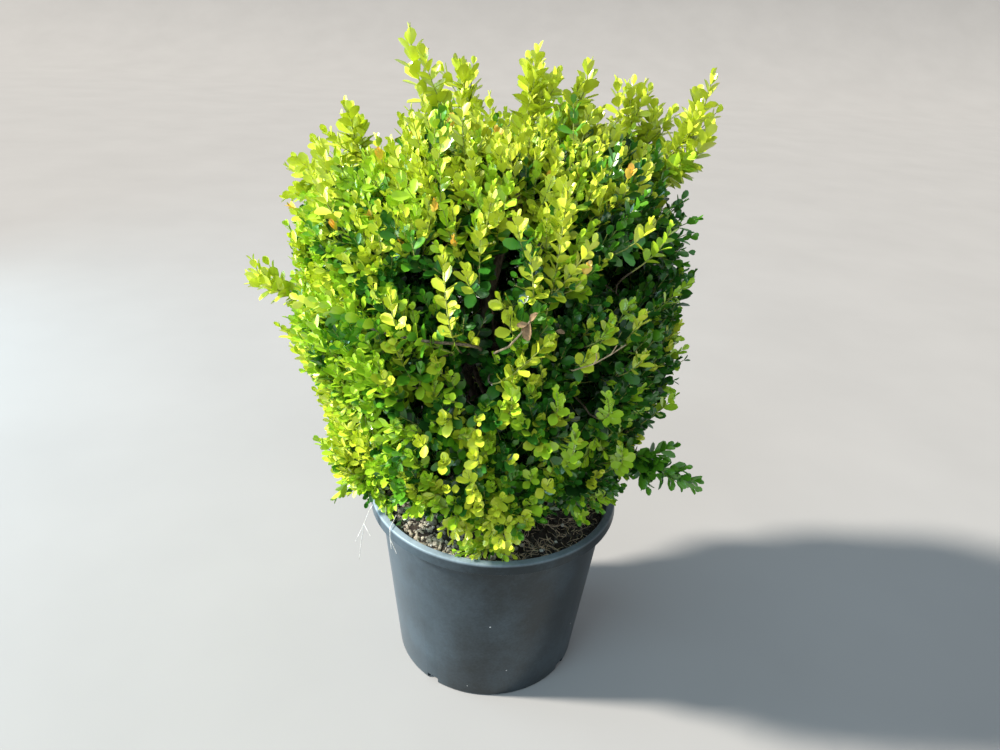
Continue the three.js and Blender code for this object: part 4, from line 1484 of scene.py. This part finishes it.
class SHRUB_OT_make_soil(bpy.types.Operator):
    """Lay the potting mix, with its bark chips and dry stalks"""

    bl_idname = "shrub.make_soil"
    bl_label = "Make Potting Mix"

    def execute(self, context):
        soil = context.scene.shrub_soil
        pot = context.scene.shrub_pot
        edge = inner_wall_radius(pot.height - soil.drop, pot) - 0.0002
        foot = inner_wall_radius(SOIL_FOOT, pot) - 0.0006
        profile = [(edge * ring / SOIL_RINGS, None) for ring in range(SOIL_RINGS + 1)]
        profile += [(foot, SOIL_FOOT), (0, SOIL_FOOT)]

        def surface(x, y):
            return soil_height(x, y, soil, pot)

        vertices, faces = lathe(profile, SOIL_SIDES, surface, turned_in=True)
        mix = new_object("potting_mix", mesh_from("potting_mix", vertices, faces))
        tones = (0.3, shaded(soil.soil, 0.35)), (0.52, soil.soil), (0.72, shaded(soil.soil, 2.2))
        earth = mottled_material("potting_mix", 0.95, (160.0, 8.0, 0.7), tones, (0.7, 0.003))
        finish_piece(mix, earth, ["soil"])
        top = SOIL_RINGS * SOIL_SIDES
        bed = new_object("bed", mesh_from("bed", vertices[: top + 1], faces[:top]))
        self.litter(context, bed, soil, edge)
        return {"FINISHED"}

    def litter(self, context, bed, soil, edge):
        """Bark chips on the left, dry stalks on the right, white grit, and pale straws over the rim."""
        chips, many = soil.chips, soil.chip_density
        kinds = (
            ("bark_chips", self.lump(5, (0.5, 0.38, 0.28)), many, 0.0074, chips, 0.6, -1.0),
            ("dark_chips", self.lump(23, (0.5, 0.3, 0.2)), many * 0.6, 0.0078, shaded(chips, 0.18), 0.6, 0.2),
            ("bark_nuggets", self.lump(7, (0.5, 0.42, 0.34)), many * 0.2, 0.0128, chips, 0.8, -1.0),
            ("white_grit", self.lump(11, (0.5, 0.42, 0.36)), GRIT_DENSITY, 0.006, soil.grit, 0.9, -0.4),
            ("dry_stalks", self.stalk(), soil.stalk_density, 0.03, soil.stalks, 0.24, 1.0),
        )
        for seed, (name, shape, density, length, colour, tilt, side) in enumerate(kinds):
            inputs = {
                "Piece": shape,
                "Density": density,
                "Length": length,
                "Tilt": tilt,
                "Side": side,
                "Edge": edge,
                "Seed": 17 * seed + 3,
                "Material": dry_material(name, colour),
            }
            strewn = run_group(new_object(name, bed.data.copy()), litter_tree(), inputs, name)
            bpy.data.objects.remove(shape)
            finish_piece(strewn, inputs["Material"])
        bpy.data.objects.remove(bed)
        lines = []
        for route in RIM_STRAWS:
            points = np.array(route, float) * MM
            lines.append((points, np.linspace(0.0007, 0.00045, len(points))))
        make_rods("rim_straws", lines, 5, dry_material("pale_straw", (0.74, 0.73, 0.68)))

    def lump(self, seed, radii):
        """A rough lump about a unit across, longest along X."""
        draw = seeded(seed)
        lump = bmesh.new()
        bmesh.ops.create_icosphere(lump, subdivisions=1, radius=1)
        for vertex in lump.verts:
            swell = 0.72 + 0.5 * draw()
            vertex.co = Vector(a * b * swell for a, b in zip(vertex.co, radii))
        return new_object("lump", mesh_of(lump, "lump"))

    def stalk(self):
        """A bent three-sided stalk of unit length along X."""
        vertices = []
        for x in np.linspace(-0.5, 0.5, 6):
            bow = 0.42 * x * x + 0.06 * math.sin(9 * x)
            vertices += [(x, bow + side, up) for side, up in circle(0.024 * (1.2 - abs(x)), 3)]
        faces = [(0, 2, 1), (15, 16, 17)] + bands(rows(6, 3))
        return new_object("stalk", mesh_from("stalk", vertices, faces))


@lru_cache(maxsize=1)
def litter_tree():
    """Pieces strewn over a surface, more of them towards a side, each turned and tipped its own way."""
    sockets = {
        "Piece": "Object",
        "Density": 10000.0,
        "Length": 0.01,
        "Tilt": 0.4,
        "Side": 0.0,
        "Edge": 0.18,
        "Seed": 1,
        "Material": "Material",
    }
    tree, build, given = node_group("strewn_pieces", sockets)
    seed = given["Seed"]
    place = build.out("GeometryNodeInputPosition")
    across = build.node("ShaderNodeSeparateXYZ", {0: place}).outputs["X"]
    leaning = build.times(build.times(across, given["Side"]), 7.0)
    density = build.times(build.clamp(build.plus(leaning, 0.5)), given["Density"])
    inputs = {"Mesh": given["Geometry"], "Density": density, "Seed": seed}
    spread = build.node("GeometryNodeDistributePointsOnFaces", inputs).outputs["Points"]
    piece = build.node("GeometryNodeObjectInfo", {"Object": given["Piece"]}).outputs["Geometry"]
    turn = build.random(0.0, FULL_TURN, build.plus(seed, 1.0))
    tips = [build.times(build.random(-1.0, 1.0, build.plus(seed, i)), given["Tilt"]) for i in (2.0, 3.0)]
    angles = build.out("ShaderNodeCombineXYZ", {0: tips[0], 1: tips[1], 2: turn})
    rotation = build.out("FunctionNodeEulerToRotation", {0: angles})
    size = build.times(build.random(0.5, 1.35, build.plus(seed, 4.0)), given["Length"])
    flat = build.vector("MULTIPLY", place, (1.0, 1.0, 0.0))
    from_middle = build.node("ShaderNodeVectorMath", {0: flat}, operation="LENGTH").outputs["Value"]
    room = build.times(build.math("SUBTRACT", given["Edge"], from_middle), 1.9)
    size = build.math("MINIMUM", size, build.math("MAXIMUM", room, 0.0015))
    close_group(build, build.strewn(spread, piece, rotation, size), given["Material"], smooth=False)
    return tree


class SHRUB_OT_make_bark(bpy.types.Operator):
    """Model the trunk and boughs with the relief of their bark"""

    bl_idname = "shrub.make_bark"
    bl_label = "Make Bark"

    def execute(self, context):
        bark = context.scene.shrub_bark
        trunk, limbs, masses = plan()
        vertices = []
        faces = []
        leader = Path(masses[0].bough.at(LEADER_FORK), *LEADER_ROUTE)
        routes = [(path, (base, tip), 14, 0.45) for _, path, base, tip in limbs]
        routes += [(mass.stem, STEM_RADII, 8, 0.2) for mass in masses]
        routes.append((leader, LEADER_RADII, 12, 0.45))
        self.limb(vertices, faces, trunk, self.trunk_radius, *TRUNK_MESH, bark.relief)
        for path, radii, sides, share in routes:
            radius = self.bough_radius(path.length, *radii)
            self.limb(vertices, faces, path, radius, sides, bark.step, bark.relief * share)
        piece = new_object("bark_limbs", mesh_from("bark_limbs", vertices, faces))
        stops = ((0.36, bark.furrow), (0.62, bark.ridge))
        look = (0.85, (260.0, 6.0, 0.65), stops, (0.6, 0.0015))
        furrowed = mottled_material("boxwood_bark", *look, stretch=(1.0, 1.0, 0.3))
        finish_piece(piece, furrowed, ["trunk"] + [name for name, *_ in limbs])
        return {"FINISHED"}

    def trunk_radius(self, share, angle):
        lobes = 0.75 + 0.25 * math.cos(TRUNK_LOBES * angle)
        flare = TRUNK_FLARE * lobes * (1 - share) ** 3
        round_top = 1 - 0.5 * max(0.0, (share - 0.82) / 0.18) ** 2
        return (TRUNK_RADIUS + (TRUNK_TOP_RADIUS - TRUNK_RADIUS) * share * share) * round_top + flare

    def bough_radius(self, length, base, tip):
        def radius(share, _):
            collar = 0.5 * base * math.exp(-share * length / (2.2 * base))
            return base + (tip - base) * share + collar

        return radius

    def limb(self, vertices, faces, path, radius, sides, step, relief):
        """Rings along a path, each point moved in or out by the bark's furrows, and both ends closed."""
        count = max(4, round(path.length * MM / step))
        shares = np.linspace(0, 1, count + 1)
        centres = path.at(shares)
        _, normals, binormals = frames_along(centres)
        rings = rows(count + 1, sides, len(vertices))
        for share, centre, normal, binormal in zip(shares, centres, normals, binormals):
            for i in range(sides):
                angle = FULL_TURN * i / sides
                out = normal * math.cos(angle) + binormal * math.sin(angle)
                point = centre * MM + out * radius(share, angle) * MM
                furrow = noise.fractal(Vector(point * BARK_GRAIN), 1.0, 2.1, 3)
                vertices.append(tuple(point + out * relief * furrow))
        faces += bands(rings) + [rings[0][::-1], rings[-1]]


RINGS = {
    "upper": [f"foliage_upper_{i}" for i in range(1, 6)] + ["foliage_top"],
    "middle": [f"foliage_middle_{i}" for i in range(1, 7)],
    "lower": [f"foliage_lower_{i}" for i in range(1, 7)] + ["foliage_front_tuft"],
}


class SHRUB_OT_grow_twigs(bpy.types.Operator):
    """Grow the branches and shoots of every mass from its bough"""

    bl_idname = "shrub.grow_twigs"
    bl_label = "Grow Twigs"

    def execute(self, context):
        bark = context.scene.shrub_bark
        wood = wood_material("twig_bark", bark.ridge, bark.furrow)
        green = wood_material("young_stems", bark.young, shaded(bark.young, 0.5))
        for ring, nodes in RINGS.items():
            make_rods(f"woody_twigs_{ring}", self.lines(ring, True), 4, wood, nodes)
            make_rods(f"young_stems_{ring}", self.lines(ring, False), 3, green, nodes)
        return {"FINISHED"}

    def lines(self, ring, woody):
        """The woody foot of each shoot in a ring of masses, or its green end."""
        lines = []
        branches, shoots = crown()
        for shoot in branches + shoots:
            if shoot.ring != ring:
                continue
            turn = shoot.bare if shoot.bare == 1 else 0.7 * shoot.bare
            low, high = (0, turn) if woody else (turn, 1)
            length = shoot.path.length * (high - low)
            if length < 1:
                continue
            shares = np.linspace(low, high, max(2, round(length / TWIG_STEP)) + 1)
            radii = shoot.radii[0] + (shoot.radii[1] - shoot.radii[0]) * shares
            lines.append((shoot.path.at(shares) * MM, radii * MM))
        return lines


class SHRUB_OT_grow_leaves(bpy.types.Operator):
    """Set the paired leaves along every shoot, dealt by spray into their tints"""

    bl_idname = "shrub.grow_leaves"
    bl_label = "Grow Leaves"

    def execute(self, context):
        leaf = context.scene.shrub_leaf
        shapes = {}
        for part, (width, *form) in LEAF_SHAPES.items():
            shapes[part] = leaf_object(f"{part}_leaf", leaf.width * width, *form)
        sections = self.sections()
        for seed, key in enumerate(sorted(sections)):
            ring, part, tint = key
            name = f"leaves_{ring}_{part}_{tint}"
            inputs = {
                "Leaf": shapes[part],
                "Leaf Length": leaf.length,
                "Pair Spacing": leaf.spacing,
                **LEAF_HABITS[part],
                **LEAF_DISORDER,
                "Seed": 31 * seed + 5,
                "Material": leaf_material(leaf, tint),
            }
            piece = run_group(curves_from(name, sections[key]), leaf_tree(), inputs, name)
            finish_piece(piece, inputs["Material"], RINGS[ring])
        for shape in shapes.values():
            bpy.data.objects.remove(shape)
        return {"FINISHED"}

    def sections(self):
        """The leafy lengths of all shoots, by ring, age and tint: old leaves below, new ones at the tip."""
        sections = {}
        branches, shoots = crown()
        for shoot in branches + shoots:
            length = shoot.path.length
            old, new = shoot.tints
            new_from = max(shoot.bare, 1 - shoot.new_share)
            parts = [("old", shoot.bare, new_from - AGE_GAP / length, old)]
            if new == "bronze":
                parts.append(("new", new_from, 1 - (BRONZE_TIP + AGE_GAP) / length, "yellow"))
                parts.append(("new", 1 - BRONZE_TIP / length, 1, new))
            else:
                parts.append(("new", new_from, 1, new))
            for part, low, high, tint in parts:
                run = (high - low) * length
                if run < SHORTEST_RUN:
                    continue
                steps = max(2, round(run / LEAF_STEP))
                points = shoot.path.at(np.linspace(low, high, steps + 1)) * MM
                sizes = np.full(steps + 1, shoot.leaf_size)
                sections.setdefault((shoot.ring, part, tint), []).append((points, sizes))
        return sections


class SHRUB_OT_add_dead_wood(bpy.types.Operator):
    """Hang the dry leaf and set the bare twig on the crown's face"""

    bl_idname = "shrub.add_dead_wood"
    bl_label = "Add Dead Wood"

    def execute(self, context):
        leaf = context.scene.shrub_leaf
        tan = dry_material("dry_leaf", leaf.dead)
        shape = leaf_object("dry_leaf", 0.6, 0.55, 0.5, 0.35)
        blade = bmesh.new()
        for place, direction, up, length in DRY_LEAVES:
            ahead = Vector(direction).normalized()
            side = Vector(up).cross(ahead).normalized()
            axes = Matrix((ahead, side, ahead.cross(side))).transposed().to_4x4()
            placed = Matrix.Translation(Vector(place) * MM) @ axes @ Matrix.Scale(length * MM, 4)
            start = len(blade.verts)
            blade.from_mesh(shape.data)
            blade.verts.ensure_lookup_table()
            bmesh.ops.transform(blade, matrix=placed, verts=blade.verts[start:])
        mesh = mesh_of(blade, "dry_leaves")
        mesh.polygons.foreach_set("use_smooth", [True] * len(mesh.polygons))
        bpy.data.objects.remove(shape)
        finish_piece(new_object("dry_leaves", mesh), tan)
        lines = []
        for route, thick in BARE_TWIG:
            points = np.array(route, float) * MM
            lines.append((points, np.linspace(thick, thick * 0.6, len(points)) * MM))
        make_rods("bare_twig", lines, 6, dry_material("bare_wood", leaf.twig))
        return {"FINISHED"}


class SHRUB_PT_panel(bpy.types.Panel):
    """The shrub's sizes and colours, and the steps that make it"""

    bl_label = "Potted Boxwood"
    bl_idname = "SHRUB_PT_panel"
    bl_space_type = "VIEW_3D"
    bl_region_type = "UI"
    bl_category = "Shrub"

    def draw(self, context):
        for settings, (kind, *operators) in STEPS.items():
            box = self.layout.box()
            for name in kind.__annotations__:
                box.prop(getattr(context.scene, settings), name)
            for operator in operators:
                box.operator(operator.bl_idname)


STEPS = {
    "shrub_stage": (ShrubStageSettings, SHRUB_OT_make_stage),
    "shrub_pot": (ShrubPotSettings, SHRUB_OT_make_pot),
    "shrub_soil": (ShrubSoilSettings, SHRUB_OT_make_soil),
    "shrub_bark": (ShrubBarkSettings, SHRUB_OT_make_bark, SHRUB_OT_grow_twigs),
    "shrub_leaf": (ShrubLeafSettings, SHRUB_OT_grow_leaves, SHRUB_OT_add_dead_wood),
}
CLASSES = [made for step in STEPS.values() for made in step] + [SHRUB_PT_panel]


def register():
    for made in CLASSES:
        bpy.utils.register_class(made)
    for name, (kind, *_) in STEPS.items():
        setattr(bpy.types.Scene, name, PointerProperty(type=kind))


def unregister():
    for name in STEPS:
        delattr(bpy.types.Scene, name)
    for made in reversed(CLASSES):
        bpy.utils.unregister_class(made)


def main():
    register()
    bpy.ops.shrub.make_stage()
    bpy.ops.shrub.make_pot()
    bpy.ops.shrub.make_soil()
    bpy.ops.shrub.make_bark()
    bpy.ops.shrub.grow_twigs()
    bpy.ops.shrub.grow_leaves()
    bpy.ops.shrub.add_dead_wood()


if __name__ == "__main__":
    main()
